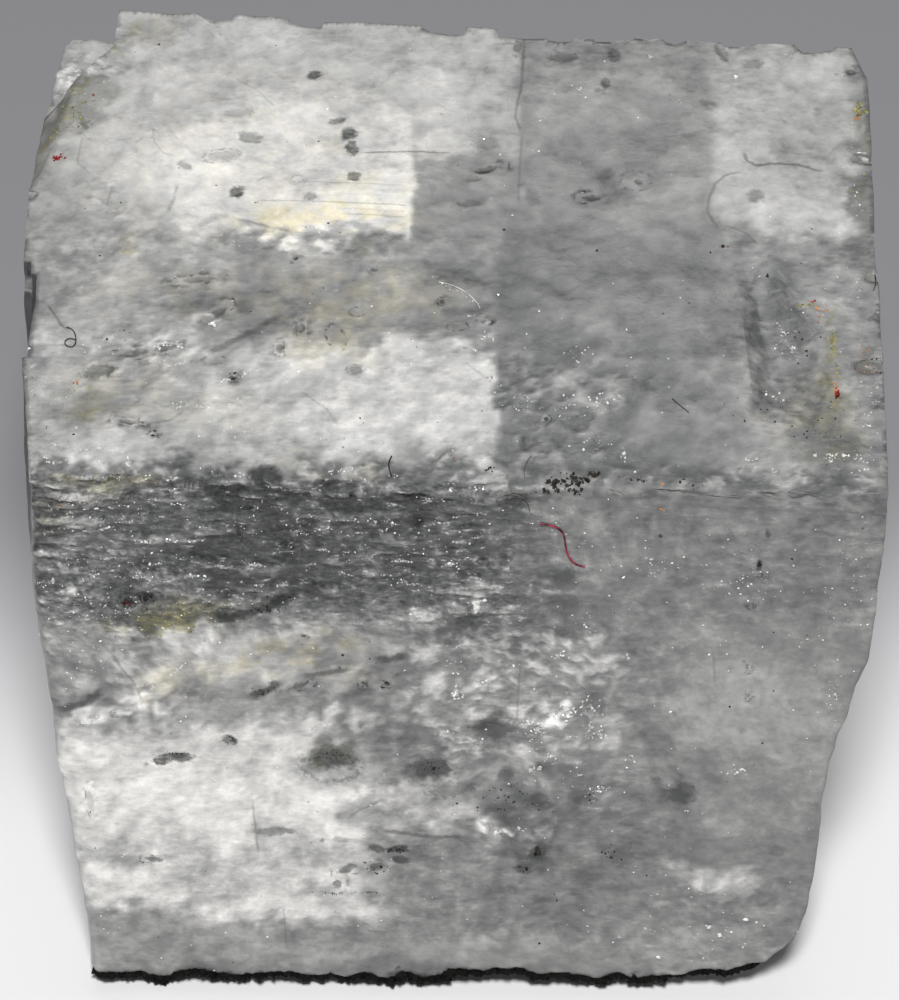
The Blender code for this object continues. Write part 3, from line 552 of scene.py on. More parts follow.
def nearest_oval(across, along, ovals):
    """How far out of the nearest oval each place is, where its rim is at 1, and how dark the oval is."""
    nearest = np.full(across.shape, FAR_OFF)
    strength = np.zeros(across.shape)
    for middle_x, middle_y, half_wide, half_high, turn, dark in ovals:
        reach = off_middle(across, along, middle_x, middle_y, half_wide, half_high, turn)
        closer = reach < nearest
        nearest = np.where(closer, reach, nearest)
        strength = np.where(closer, dark, strength)
    return nearest, strength


places = places_of(salt)
normals = np.empty(len(salt.data.vertices) * 3)
salt.data.vertices.foreach_get("normal", normals)
normals = normals.reshape(-1, 3)
across, deep, high = places.T

# Which points are on the top, and which on the front face.
FACING_UP, FACING_FRONT, RIDGE_SOFT = (0.15, 0.4), (0.35, 0.6), 0.12
FACE_START, FACE_FULL = 3.0, 2.0
on_top = soft_step(normals[:, 2], *FACING_UP)
on_top *= soft_step(high, RIDGE_HIGH - FACE_START, RIDGE_HIGH - FACE_FULL)
on_front = soft_step(-normals[:, 1], *FACING_FRONT)
on_front *= soft_step(-deep, -RIDGE_DEEP - FACE_START, -RIDGE_DEEP - FACE_FULL)
behind_ridge = deep - RIDGE_DEEP - RIDGE_SKEW * across
over_ridge = soft_step(behind_ridge - (RIDGE_HIGH - high), -RIDGE_SOFT, RIDGE_SOFT)
on_top *= over_ridge
on_front *= 1 - over_ridge
on_shown = np.clip(on_top + on_front, 0, 1)

# Natural variation of several grains. The last number of each only makes it unlike the others.
BROAD_CELL, MIDDLING_CELL, SMALL_CELL = 3.2, 0.9, 0.38
WANDER, WANDER_CELL, FINE_WANDER, FINE_CELL, TOP_WANDER = 0.30, 1.1, 0.05, 0.3, 0.2
WAVE_CELL, WAVE_STRETCH = 1.0, (1.9, 1.0, 0.36)
broad = field(places, BROAD_CELL, 11.3)
middling = field(places, MIDDLING_CELL, 27.1)
small = field(places, SMALL_CELL, 5.7)
wander_x = WANDER * field(places, WANDER_CELL, 61.2) + FINE_WANDER * field(places, FINE_CELL, 12.9)
wander_y = WANDER * field(places, WANDER_CELL, 93.7) + FINE_WANDER * field(places, FINE_CELL, 77.3)
waves = field(places, WAVE_CELL, 41.0, 3, WAVE_STRETCH)

# Where the salt tore there are wavy ledges, their crests painted lighter as a painted highlight, and where it
# was struck it is crumbly. The top faces the light, so it needs less milk for the same brightness. The wall
# of the left notch lies in shadow and gets painted shade.
TOP_SHARE, NOTCH_PAINTED_SHADE, TOP_GRIT, FRONT_GRIT = 0.875, 0.22, 0.10, 0.14
TORN_CREST_HIGHLIGHT, TORN_DARK, CRUMBLY_MILK, CRUMBLY_DARK = 0.20, 0.05, 0.16, 0.04
TORN_BAND, TORN_FADE, TORN_LOSS = (16.6, 22.3, 1.2, 0.2), (-0.5, 4.5), 0.8
NOTCH_RUN, NOTCH_ACROSS, NOTCH_RISE = (-9.5, 1.0, 0.5, 0.5), -11.0, (15.0, 18.0)
BROAD_TONE, MIDDLING_TONE, SMALL_TONE = 0.022, 0.014, 0.012
HIDDEN_BROAD, HIDDEN_MIDDLING, GRIT_MIDDLING, GRIT_SMALL = 0.03, 0.02, 0.024, 0.030
torn = on_front * inside(high, *TORN_BAND) * (1 - TORN_LOSS * soft_step(across, *TORN_FADE))
crumbly = on_front * lay_patches(0 * across, across + wander_x, high + wander_y, FRONT_CRUMBLY)
crumbly += on_top * lay_patches(0 * across, across + wander_x, deep + wander_y, TOP_CRUMBLY)
gritty = on_front * lay_patches(np.full(across.shape, FRONT_GRIT), across, high, FRONT_GRITTY)
gritty += on_top * lay_patches(np.full(across.shape, TOP_GRIT), across, deep, TOP_GRITTY)
top_grey, front_grey = np.full(across.shape, TOP_GREY), np.full(across.shape, FRONT_GREY)
top_tones = lay_patches(top_grey, across + TOP_WANDER * wander_x, deep + wander_y, TOP_PATCHES)
front_tones = lay_patches(front_grey, across + wander_x, high + wander_y, FRONT_PATCHES)
top_tones = lay_clouds(top_tones, across + wander_x, deep + wander_y, TOP_CLOUDS)
front_tones = lay_clouds(front_tones, across + wander_x, high + wander_y, FRONT_CLOUDS)
# Painted shade: the wall of the left notch lies in shadow, so its tone is darkened there.
notch_shade_share = (1 - on_shown) * inside(deep, *NOTCH_RUN) * (across < NOTCH_ACROSS)
notch_shade_share *= soft_step(high, *NOTCH_RISE)
hidden_tones = HIDDEN_GREY + HIDDEN_BROAD * broad + HIDDEN_MIDDLING * middling
hidden_tones = blend(hidden_tones, NOTCH_PAINTED_SHADE, notch_shade_share)
cloudiness = hidden_tones * (1 - on_shown) + TOP_SHARE * top_tones * on_top + front_tones * on_front
cloudiness += BROAD_TONE * broad + MIDDLING_TONE * middling + SMALL_TONE * small
cloudiness += gritty * (GRIT_MIDDLING * middling + GRIT_SMALL * small)
# The crests of the torn waves are painted lighter, a painted highlight; the torn band as a whole is a little
# darker.
cloudiness += torn * (TORN_CREST_HIGHLIGHT * soft_step(waves, 0.35, 1.0) - TORN_DARK)
cloudiness += crumbly * (CRUMBLY_MILK * soft_step(middling + small, 0.3, 1.3) - CRUMBLY_DARK)

# Heights of the relief in millimetres, and how deep the marks lie in it.
BROAD_RISE, MIDDLING_RISE, SMALL_RISE, TORN_RISE, CRUMBLY_RISE = 0.030, 0.006, 0.003, 0.06, 0.035
TOP_HOLLOW, FRONT_HOLLOW, RIDGE_CHIPS, FOOT_WAVE, FOOT_RAGS = 0.05, 0.06, 0.10, 0.09, 0.04
CHIPPED_TO, CHIPPING, FOOT_CELL = (0.1, 0.5), (-0.2, 1.2), 1.6
FOOT_BAND, FOOT_FRONT = (0.2, 2.0, 0.15, 0.6), (1.2, 0.2)
top_speck, top_dark = nearest_oval(across, deep, TOP_SPECKS)
front_speck, front_dark = nearest_oval(across, high, FRONT_SPECKS)
relief = BROAD_RISE * broad + MIDDLING_RISE * middling + SMALL_RISE * small
relief += torn * TORN_RISE * waves + crumbly * CRUMBLY_RISE * small
relief -= TOP_HOLLOW * on_top * (1 - soft_step(top_speck, *HOLLOW_EDGE)) * top_dark
relief -= FRONT_HOLLOW * on_front * (1 - soft_step(front_speck, *HOLLOW_EDGE)) * front_dark

# The foot's edge is ragged, and the ridge is chipped along its length.
off_ridge = np.hypot(behind_ridge, high - RIDGE_HIGH)
relief -= RIDGE_CHIPS * (1 - soft_step(off_ridge, *CHIPPED_TO)) * soft_step(small + middling, *CHIPPING)
foot_wave = FOOT_WAVE * field(places * np.array((1.0, 0.0, 0.0)), FOOT_CELL, 3.9) + FOOT_RAGS * small
rise = foot_wave * soft_step(-deep, -RIDGE_DEEP - FOOT_FRONT[0], -RIDGE_DEEP - FOOT_FRONT[1])
rise *= inside(high, *FOOT_BAND)

moved = places + normals * relief[:, None] + np.array((0.0, 0.0, 1.0)) * rise[:, None]
moved = np.clip(moved * MM, np.array(cad_low), np.array(cad_high))
salt.data.vertices.foreach_set("co", moved.ravel())
salt.data.update()


def lay_stains(top_stains, front_stains):
    """How much of a stain each point has, from the ovals that are stained on the top and the front."""
    total = np.zeros(across.shape)
    for stains, along, share in ((top_stains, deep, on_top), (front_stains, high, on_front)):
        for middle_x, middle_y, half_wide, half_high, turn, strength in stains:
            place_x, place_y = across + STAIN_WANDER * wander_x, along + STAIN_WANDER * wander_y
            reach = off_middle(place_x, place_y, middle_x, middle_y, half_wide, half_high, turn)
            total = np.maximum(total, strength * share * (1 - soft_step(reach, *STAIN_EDGE)))
    return total


def write_share(name, values):
    """Keeps one number for each point of the block, for its material to read."""
    share = salt.data.attributes.new(name, "FLOAT", "POINT")
    share.data.foreach_set("value", values.astype(np.float32))


top_offset, top_crack = nearest_crack(across, deep, TOP_CRACKS)
front_offset, front_crack = nearest_crack(across, high, FRONT_CRACKS)
top_bubble, top_rim = nearest_oval(across, deep, TOP_BUBBLES)
front_bubble, front_rim = nearest_oval(across, high, FRONT_BUBBLES)
LEDGE_SHARE, LEDGE_HIGHLIGHT, MARK_STRENGTH, DARKEST = 0.45, 0.8, 1.3, 0.95
# The torn ledges' lines, along which pale painted highlights are drawn.
ledges = [(LEDGE_SHARE * half_wide, LEDGE_HIGHLIGHT, points) for half_wide, points in FRONT_ROWS]
ledge_offset, ledge_highlight_share = nearest_crack(across, high, ledges)
above = over_ridge > 0.5
patchy = soft_step(middling, -1.1, 0.2)
write_share("cloudiness", cloudiness)
write_share("cream", lay_stains(TOP_CREAM, FRONT_CREAM) * patchy)
write_share("clay", lay_stains(TOP_CLAY, FRONT_CLAY) * soft_step(small + 0.5 * middling, -0.7, 0.3))
write_share("crack_offset", np.where(above, top_offset, front_offset))
write_share("crack_dark", np.where(above, top_crack * on_top, front_crack * on_front))
write_share("speck_reach", np.where(above, top_speck, front_speck))
speck_dark = MARK_STRENGTH * np.where(above, top_dark * on_top, front_dark * on_front)
write_share("speck_dark", np.clip(speck_dark, 0, DARKEST))
write_share("ledge_offset", ledge_offset)
write_share("ledge_highlight_share", ledge_highlight_share * on_front)
write_share("frosted", np.clip(np.maximum(0.95 * torn + 0.5 * crumbly, 0.34 * gritty), 0, 1))
write_share("ridge_dull", 1 - soft_step(off_ridge, 0.5, 1.1))
write_share("bubble_reach", np.where(above, top_bubble, front_bubble))
write_share("bubble_dark", MARK_STRENGTH * np.where(above, top_rim * on_top, front_rim * on_front))

# The salt as a material: clear and grey where it is sound, milky where it is full of tiny pools of brine,
# glossy but softened by damp. Marks are drawn from the numbers above, the finest grain from textures.
# The small glints and the pale lines along the torn ledges are painted highlights in the colour.
GRAIN_PER_MM, TRACES_PER_MM = 4.6, (2.6, 6.0, 6.0)
GRAIN_SHARE, TRACE_SHARE, FROST_SHARE = 0.19, 0.04, 1.00
LEDGE_AND_GLINT_HIGHLIGHT, MARK_BLACK = (0.74, 0.74, 0.72, 1), (0.020, 0.024, 0.020, 1)
CREAM_TINT, CLAY_TINT = (1.0, 0.92, 0.66, 1), (0.62, 0.59, 0.32, 1)
SALT_IOR, CLEAR_SALT, MILKY_SALT, SMOOTH_UP_TO = 1.544, 0.45, 0.06, radians(32)
ABSORBED_COLOUR, ABSORPTION = (0.86, 0.88, 0.90, 1), 12.0
FRAY, LEDGE_FRAY, CRACK_FRAY, SPECK_FRAY, RIM_FRAY = 1.6, 2.4, 1.2, 0.9, 0.5
LEDGE_EDGE, CRACK_EDGE, SPECK_EDGE, RIM_EDGE = (1.5, 0.2), (1.3, 0.3), (1.2, 0.65), (0.22, 0.05)
LEDGE_BREAKS, RIM_BREAKS, PAINTED_GLINTS, PAINTED_GLINT_WHITE = (0.42, 0.56), (0.44, 0.58), (0.62, 0.68), 0.7
BUMP_STRENGTH, BUMP_DEPTH, TRACE_BUMP = 0.4, 0.03, 0.6
SMOOTHEST, ROUGHEST, DULL_RIDGE = 0.28, 0.46, 0.45
BLACKEST, WHITEST = (0.008, 0.009, 0.009, 1), (0.97, 0.965, 0.93, 1)
SALT_TONES = ((0.25, (0.050, 0.052, 0.052, 1)), (0.40, (0.130, 0.134, 0.133, 1)),
              (0.55, (0.262, 0.262, 0.256, 1)), (0.70, (0.452, 0.448, 0.434, 1)),
              (0.85, (0.695, 0.685, 0.655, 1)))
salt_finish = bpy.data.materials.new("rock_salt")
salt_finish.use_nodes = True
finish_nodes, finish_links = salt_finish.node_tree.nodes, salt_finish.node_tree.links
gloss = finish_nodes["Principled BSDF"]


def node_in(tree, kind, fed=(), **settings):
    """A node with its settings, and a value or a link on each of the inputs named in fed."""
    made = tree.nodes.new(kind)
    for name, value in settings.items():
        setattr(made, name, value)
    for name, value in dict(fed).items():
        if isinstance(value, bpy.types.NodeSocket):
            tree.links.new(value, made.inputs[name])
        else:
            made.inputs[name].default_value = value
    return made


def finish_node(kind, fed=(), **settings):
    """A node of the salt's own material."""
    return node_in(salt_finish.node_tree, kind, fed, **settings)


def share_of(name):
    """One of the numbers that the block's points carry."""
    return finish_node("ShaderNodeAttribute", attribute_name=name).outputs["Fac"]


def sum_of(operation, first, second, third=0.0):
    """The outcome of one sum on two or three values."""
    return finish_node("ShaderNodeMath", {0: first, 1: second, 2: third}, operation=operation).outputs[0]


def stepped(value, start, end, low=0.0, high=1.0):
    """From low to high as the value goes from start to end."""
    fed = {"Value": value, "From Min": start, "From Max": end, "To Min": low, "To Max": high}
    return finish_node("ShaderNodeMapRange", fed, interpolation_type="SMOOTHSTEP").outputs["Result"]


def stained(colour, stain, share, blend_type="MIX"):
    """A colour with a stain mixed in, or multiplied in, by its share."""
    fed = {"Factor": share, "A": colour, "B": stain}
    mixed = finish_node("ShaderNodeMix", (), data_type="RGBA", blend_type=blend_type)
    for socket in mixed.inputs:
        if socket.enabled and socket.name in fed:
            if isinstance(fed[socket.name], bpy.types.NodeSocket):
                finish_links.new(fed[socket.name], socket)
            else:
                socket.default_value = fed[socket.name]
    return next(socket for socket in mixed.outputs if socket.enabled)


held = finish_node("ShaderNodeTexCoord").outputs["Object"]
in_mm = finish_node("ShaderNodeVectorMath", {0: held, "Scale": 1 / MM}, operation="SCALE").outputs[0]
drawn_out = finish_node("ShaderNodeMapping", {"Vector": in_mm, "Scale": TRACES_PER_MM}).outputs[0]

grain = finish_node("ShaderNodeTexNoise", {"Vector": in_mm, "Scale": GRAIN_PER_MM, "Detail": 3.0,
                                           "Roughness": 0.72}).outputs[0]
traces = finish_node("ShaderNodeTexNoise", {"Vector": drawn_out, "Scale": 1.0, "Detail": 4.0,
                                            "Roughness": 0.75}).outputs[0]

fray = sum_of("MULTIPLY_ADD", grain, FRAY, -0.5 * FRAY)
cloud = sum_of("ADD", share_of("cloudiness"), -0.5 * (GRAIN_SHARE + TRACE_SHARE))
cloud = sum_of("MULTIPLY_ADD", grain, GRAIN_SHARE, cloud)
cloud = sum_of("MULTIPLY_ADD", traces, TRACE_SHARE, cloud)
frost = sum_of("MULTIPLY_ADD", traces, FROST_SHARE, -0.5 * FROST_SHARE)
frosted = sum_of("MULTIPLY", share_of("frosted"), frost)
cloud = sum_of("ADD", cloud, frosted)
# Painted highlights: pale frayed lines along the torn ledges, broken here and there.
painted_ledge_line = sum_of("ABSOLUTE", sum_of("ADD", share_of("ledge_offset"), sum_of("MULTIPLY", fray, LEDGE_FRAY)), 0.0)
painted_ledge_line = sum_of("MULTIPLY", stepped(painted_ledge_line, *LEDGE_EDGE), share_of("ledge_highlight_share"))
painted_ledge_line = sum_of("MULTIPLY", painted_ledge_line, stepped(traces, *LEDGE_BREAKS))
# Painted highlights: small white glints drawn into the colour where the salt is frosted.
painted_glint = sum_of("MULTIPLY", stepped(traces, *PAINTED_GLINTS), share_of("frosted"))

salt_ramp = finish_node("ShaderNodeValToRGB", {0: cloud})
salt_ramp.color_ramp.interpolation = "LINEAR"
stops = salt_ramp.color_ramp.elements
stops[0].position, stops[0].color = 0.10, BLACKEST
stops[1].position, stops[1].color = 1.0, WHITEST
for position, colour in SALT_TONES:
    stops.new(position).color = colour
colour = salt_ramp.outputs[0]

crack = sum_of("ABSOLUTE", sum_of("ADD", share_of("crack_offset"), sum_of("MULTIPLY", fray, CRACK_FRAY)), 0.0)
crack = sum_of("MULTIPLY", stepped(crack, *CRACK_EDGE), share_of("crack_dark"))
speck = stepped(sum_of("MULTIPLY_ADD", fray, SPECK_FRAY, share_of("speck_reach")), *SPECK_EDGE)
speck = sum_of("MULTIPLY", speck, share_of("speck_dark"))
speck = sum_of("MULTIPLY", speck, stepped(traces, 0.40, 0.56, 0.75, 1.0))
rim = sum_of("MULTIPLY_ADD", fray, RIM_FRAY, sum_of("ADD", share_of("bubble_reach"), -1.0))
rim = sum_of("MULTIPLY", stepped(sum_of("ABSOLUTE", rim, 0.0), *RIM_EDGE), share_of("bubble_dark"))
rim = sum_of("MULTIPLY", rim, stepped(grain, *RIM_BREAKS))
dark = sum_of("MAXIMUM", sum_of("MAXIMUM", crack, speck), rim)

colour = stained(colour, LEDGE_AND_GLINT_HIGHLIGHT, sum_of("MAXIMUM", painted_ledge_line, sum_of("MULTIPLY", painted_glint, PAINTED_GLINT_WHITE)))
colour = stained(colour, CREAM_TINT, share_of("cream"), "MULTIPLY")
colour = stained(colour, CLAY_TINT, share_of("clay"), "MULTIPLY")
colour = stained(colour, MARK_BLACK, dark)

bumps = sum_of("MULTIPLY_ADD", grain, 1.0, sum_of("MULTIPLY", traces, TRACE_BUMP))
bumped = {"Strength": BUMP_STRENGTH, "Distance": BUMP_DEPTH * MM, "Height": bumps}
bump = finish_node("ShaderNodeBump", bumped)

finish_links.new(colour, gloss.inputs["Base Color"])
rough = stepped(grain, 0.3, 0.7, SMOOTHEST, ROUGHEST)
rough = sum_of("MULTIPLY_ADD", share_of("ridge_dull"), DULL_RIDGE, rough)
finish_links.new(rough, gloss.inputs["Roughness"])
finish_links.new(stepped(cloud, 0.3, 0.9, CLEAR_SALT, MILKY_SALT), gloss.inputs["Transmission Weight"])
finish_links.new(bump.outputs["Normal"], gloss.inputs["Normal"])
gloss.inputs["IOR"].default_value = SALT_IOR
salt_inside = finish_node("ShaderNodeVolumeAbsorption", {"Color": ABSORBED_COLOUR, "Density": ABSORPTION})
finish_links.new(salt_inside.outputs[0], finish_nodes["Material Output"].inputs["Volume"])

salt.data.materials.clear()
salt.data.materials.append(salt_finish)
pick_up(salt)
bpy.ops.object.shade_smooth_by_angle(angle=SMOOTH_UP_TO)
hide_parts("halite_crystal")
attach(salt, "root")

# Crumbs of broken salt that cling to the block: tiny cleaved bits that catch the light. They lie in rows
# along the torn ledges, in clusters where the salt was struck, and thinly strewn elsewhere.
TOP_ROWS = (
    (0.10, ((-11.6, -9.5), (-11.2, -9.8), (-10.9, -9.6))), (0.09, ((-10.2, -9.7), (-9.8, -9.7))),
    (0.08, ((-3.5, -10.0), (-3.1, -9.9), (-2.7, -10.0), (-2.3, -10.2))),
    (0.08, ((-1.8, -10.1), (-1.4, -10.1))), (0.09, ((0.6, -10.4), (1.0, -10.4))),
    (0.10, ((-8.7, -4.9), (-8.0, -4.8), (-7.6, -5.1))),
    (0.08, ((-8.9, -5.4), (-8.1, -5.6), (-7.4, -5.5))),
    (0.08, ((-11.4, -8.9), (-10.6, -9.2), (-9.8, -9.1))),
    (0.08, ((-0.4, -2.0), (0.4, -2.6), (0.8, -2.9))), (0.09, ((9.4, -3.4), (9.7, -3.9), (9.3, -4.6))),
    (0.09, ((-6.9, -6.4), (-6.0, -6.0), (-5.6, -5.5))),
    (0.07, ((-8.0, -7.1), (-7.0, -7.4), (-6.2, -7.1))),
)
# Clusters: place, half sizes, how many crumbs, and the greatest size of one.
TOP_CLUSTERS = (
    (2.0, -7.2, 0.4, 0.3, 22, 0.09), (4.3, -7.1, 0.35, 0.35, 28, 0.11), (3.4, -7.3, 0.4, 0.3, 20, 0.08),
    (3.7, -5.2, 0.4, 0.4, 26, 0.08), (4.1, -8.9, 0.4, 0.3, 16, 0.10), (4.8, -9.2, 0.15, 0.15, 7, 0.14),
    (1.1, -6.2, 0.15, 0.1, 8, 0.12), (0.5, -4.9, 0.25, 0.15, 10, 0.10), (10.8, -9.3, 0.3, 0.2, 20, 0.15),
    (11.6, -9.5, 0.4, 0.4, 30, 0.09), (8.4, -9.5, 0.2, 0.2, 6, 0.14), (9.3, -9.9, 0.3, 0.2, 6, 0.14),
    (-11.85, 9.25, 0.05, 0.05, 2, 0.26), (-11.45, 9.15, 0.05, 0.05, 2, 0.28),
    (-11.2, 9.3, 0.05, 0.05, 2, 0.24), (-11.35, 8.3, 0.1, 0.05, 3, 0.30),
    (-11.8, 8.2, 0.05, 0.05, 2, 0.22), (-12.3, -4.9, 0.1, 0.1, 5, 0.12), (6.2, 8.45, 0.1, 0.1, 5, 0.14),
    (8.7, 7.6, 0.1, 0.1, 6, 0.18), (7.0, 6.3, 0.1, 0.1, 4, 0.10), (3.85, 6.9, 0.1, 0.1, 4, 0.10),
    (0.3, 1.25, 0.1, 0.1, 4, 0.12), (1.6, 2.35, 0.1, 0.1, 3, 0.09), (-6.9, -3.9, 0.15, 0.1, 8, 0.18),
    (-7.8, -7.3, 0.1, 0.1, 4, 0.09), (1.0, -4.4, 0.3, 0.2, 14, 0.10), (10.6, -3.2, 0.3, 0.3, 12, 0.09),
    (9.9, -4.5, 0.3, 0.4, 18, 0.11), (9.3, -6.6, 0.3, 0.2, 9, 0.12), (11.9, -1.8, 0.3, 0.8, 26, 0.08),
    (11.9, -7.6, 0.4, 1.0, 40, 0.08), (12.2, 2.6, 0.2, 1.8, 20, 0.08), (-9.1, -9.7, 0.12, 0.1, 5, 0.20),
    (0.0, -10.4, 0.1, 0.1, 6, 0.14), (-0.1, -9.0, 0.3, 0.3, 12, 0.08), (0.7, -3.4, 0.2, 0.2, 7, 0.10),
    (1.0, -8.1, 0.2, 1.2, 18, 0.07), (-12.0, -6.4, 0.3, 0.8, 18, 0.08), (-6.2, -8.4, 0.8, 0.5, 18, 0.09),
    (-3.2, -8.6, 1.5, 0.6, 22, 0.07), (-4.2, 0.4, 1.6, 0.3, 26, 0.08),
)
FRONT_CLUSTERS = (
    (0.7, 17.6, 0.2, 0.2, 14, 0.16), (-1.0, 18.3, 0.1, 0.1, 5, 0.12), (0.6, 18.9, 0.3, 0.4, 18, 0.07),
    (0.2, 19.2, 0.35, 0.15, 12, 0.08), (3.15, 15.6, 0.25, 0.25, 18, 0.10),
    (1.75, 15.0, 0.2, 0.2, 10, 0.08), (0.95, 14.4, 0.12, 0.1, 9, 0.16), (0.15, 13.9, 0.15, 0.3, 16, 0.10),
    (-0.05, 14.9, 0.25, 0.25, 12, 0.08), (-0.2, 12.2, 0.15, 0.1, 7, 0.12),
    (0.8, 11.75, 0.12, 0.1, 7, 0.14), (3.35, 13.1, 0.4, 0.3, 48, 0.15),
    (2.55, 12.25, 0.2, 0.15, 18, 0.17), (2.2, 12.75, 0.25, 0.2, 16, 0.12),
    (4.1, 13.45, 0.3, 0.3, 22, 0.11), (4.25, 12.3, 0.35, 0.35, 36, 0.12), (5.1, 15.5, 0.1, 0.2, 6, 0.10),
    (0.1, 15.95, 0.2, 0.15, 8, 0.09), (3.9, 17.05, 0.1, 0.25, 8, 0.10), (2.45, 10.5, 0.12, 0.1, 8, 0.17),
    (2.9, 10.95, 0.3, 0.2, 18, 0.08), (3.8, 10.35, 0.12, 0.08, 6, 0.12), (4.35, 9.7, 0.4, 0.3, 24, 0.10),
    (5.3, 11.15, 0.15, 0.15, 7, 0.12), (1.4, 7.75, 0.2, 0.1, 12, 0.17), (1.1, 8.0, 0.12, 0.08, 5, 0.10),
    (2.05, 7.9, 0.12, 0.12, 8, 0.13), (-0.3, 6.65, 0.1, 0.15, 5, 0.12), (7.1, 8.8, 0.1, 0.1, 3, 0.08),
    (8.5, 10.6, 0.3, 0.15, 22, 0.12), (2.6, 12.3, 0.9, 1.8, 70, 0.07), (2.4, 17.4, 1.4, 1.0, 40, 0.06),
    (5.8, 19.4, 1.6, 0.5, 56, 0.08), (8.6, 18.7, 1.2, 0.7, 60, 0.08), (2.6, 20.8, 1.0, 0.4, 20, 0.07),
    (8.3, 20.6, 2.6, 0.8, 46, 0.06), (11.3, 19.0, 0.6, 2.4, 60, 0.07), (11.1, 14.0, 0.3, 0.8, 30, 0.10),
    (10.4, 16.4, 1.2, 0.8, 20, 0.06), (6.9, 15.0, 2.0, 2.0, 26, 0.06), (4.4, 9.0, 1.6, 1.4, 34, 0.06),
    (7.8, 5.0, 1.6, 0.8, 30, 0.07), (-9.5, 17.0, 2.0, 0.8, 90, 0.09), (-10.8, 15.0, 1.2, 1.2, 50, 0.08),
    (-6.6, 17.6, 1.6, 0.5, 34, 0.08), (-9.8, 20.6, 2.0, 0.9, 70, 0.07), (-5.0, 20.6, 2.2, 0.9, 60, 0.07),
    (-1.0, 20.2, 1.6, 1.0, 60, 0.07), (-9.4, 18.9, 2.2, 0.7, 70, 0.07), (-2.2, 18.7, 1.8, 0.5, 34, 0.07),
    (-6.2, 15.6, 2.4, 0.8, 22, 0.07), (4.2, 3.35, 0.02, 0.02, 2, 0.16), (5.2, 2.95, 0.02, 0.02, 2, 0.18),
    (6.3, 3.2, 0.02, 0.02, 2, 0.16), (6.55, 3.35, 0.02, 0.02, 2, 0.18), (7.4, 3.45, 0.02, 0.02, 2, 0.14),
    (8.0, 3.4, 0.08, 0.04, 4, 0.20), (8.35, 3.0, 0.06, 0.04, 4, 0.24), (8.65, 3.2, 0.08, 0.03, 4, 0.18),
    (9.1, 3.85, 0.03, 0.03, 3, 0.20), (9.45, 3.7, 0.04, 0.02, 2, 0.16), (7.35, 2.1, 0.02, 0.02, 2, 0.18),
    (7.5, 1.75, 0.02, 0.02, 2, 0.16), (7.85, 1.85, 0.03, 0.03, 3, 0.18), (6.45, 1.9, 0.04, 0.03, 3, 0.16),
    (8.1, 3.0, 1.6, 0.8, 30, 0.07), (-7.0, 8.8, 3.0, 1.5, 16, 0.06), (-10.8, 3.4, 0.3, 0.8, 10, 0.08),
    (-5.0, 3.4, 2.0, 1.6, 16, 0.06),
)
ROW_STEP, ROW_SPREAD, ROW_GAPS = 0.040, 0.035, 0.30
ROW_SHARE, CLUSTER_SHARE = 0.55, 0.65
MOTTLES_PER_MM, DIRT_IOR = 5.0, 1.2
STREWN_CRUMBS, STREWN_SIZE = 420, 0.040
GRAIN_SEED, GRAIN_TILT, GRAIN_STRETCH = 17, 0.5, (0.65, 1.35)
STREWN_ACROSS, STREWN_DEEP, STREWN_HIGH = (-12.3, 12.0), (-10.3, 9.5), (1.0, 22.0)

# The crumb's two broken corners: a point of each break, and which way the lost corner was.
BROKEN_OFF = (((0.22, 0.2, 0.2), (1.0, 0.8, 0.6)), ((-0.25, -0.2, 0.2), (-0.7, -1.0, 0.9)))
bpy.ops.object.select_all(action="DESELECT")
bpy.ops.mesh.primitive_cube_add(size=1)
one_crumb = bpy.context.object
bpy.ops.object.mode_set(mode="EDIT")
for corner, away in BROKEN_OFF:
    bpy.ops.mesh.select_all(action="SELECT")
    bpy.ops.mesh.bisect(plane_co=corner, plane_no=away, use_fill=True, clear_outer=True)
bpy.ops.mesh.select_all(action="SELECT")
bpy.ops.mesh.quads_convert_to_tris()
bpy.ops.object.mode_set(mode="OBJECT")
block_surface = bvhtree.BVHTree.FromObject(salt, bpy.context.evaluated_depsgraph_get())


def landed(face, across, along):
    """Where a grain rests on the top, the front or the underside, in millimetres, and which way is out."""
    if face == "top":
        start, onward = Vector((across, along, 40)), Vector((0, 0, -1))
    elif face == "foot":
        start, onward = Vector((across, along, -40)), Vector((0, 0, 1))
    else:
        start, onward = Vector((across, -40, along)), Vector((0, 1, 0))
    place, out = block_surface.ray_cast(start * MM, onward)[:2]
    if place is None:
        return None
    return place / MM, out


def stuck_on(name, shape, grains, chance, sunk=0.2):
    """One mesh of many small grains: each has a face, a place, a size and how flat it lies."""
    corners = np.array([corner.co[:] for corner in shape.data.vertices])
    sides = [tuple(side.vertices) for side in shape.data.polygons]
    all_corners, all_sides = [], []
    for face, x, y, size, flat in grains:
        found = landed(face, x, y)
        if found is None:
            continue
        place, out = found
        lie = out.to_track_quat("Z", "Y").to_matrix()
        leaning = chance.uniform(-GRAIN_TILT, GRAIN_TILT, 2).tolist()
        tumble = Euler(leaning + [chance.uniform(0, 2 * pi)]).to_matrix()
        stretch = size * chance.uniform(*GRAIN_STRETCH, 3) * np.array((1.0, 1.0, flat))
        turned = (corners * stretch) @ np.array(tumble).T @ np.array(lie).T
        middle = np.array(place) + np.array(out) * size * flat * (0.5 - sunk)
        shift = len(all_corners) * len(corners)
        all_corners.append(turned + middle)
        all_sides.extend(tuple(corner + shift for corner in side) for side in sides)
    mesh = bpy.data.meshes.new(name)
    mesh.from_pydata((np.concatenate(all_corners) * MM).tolist(), [], all_sides)
    piece = bpy.data.objects.new(name, mesh)
    bpy.context.scene.collection.objects.link(piece)
    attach(piece, "root")
    return piece


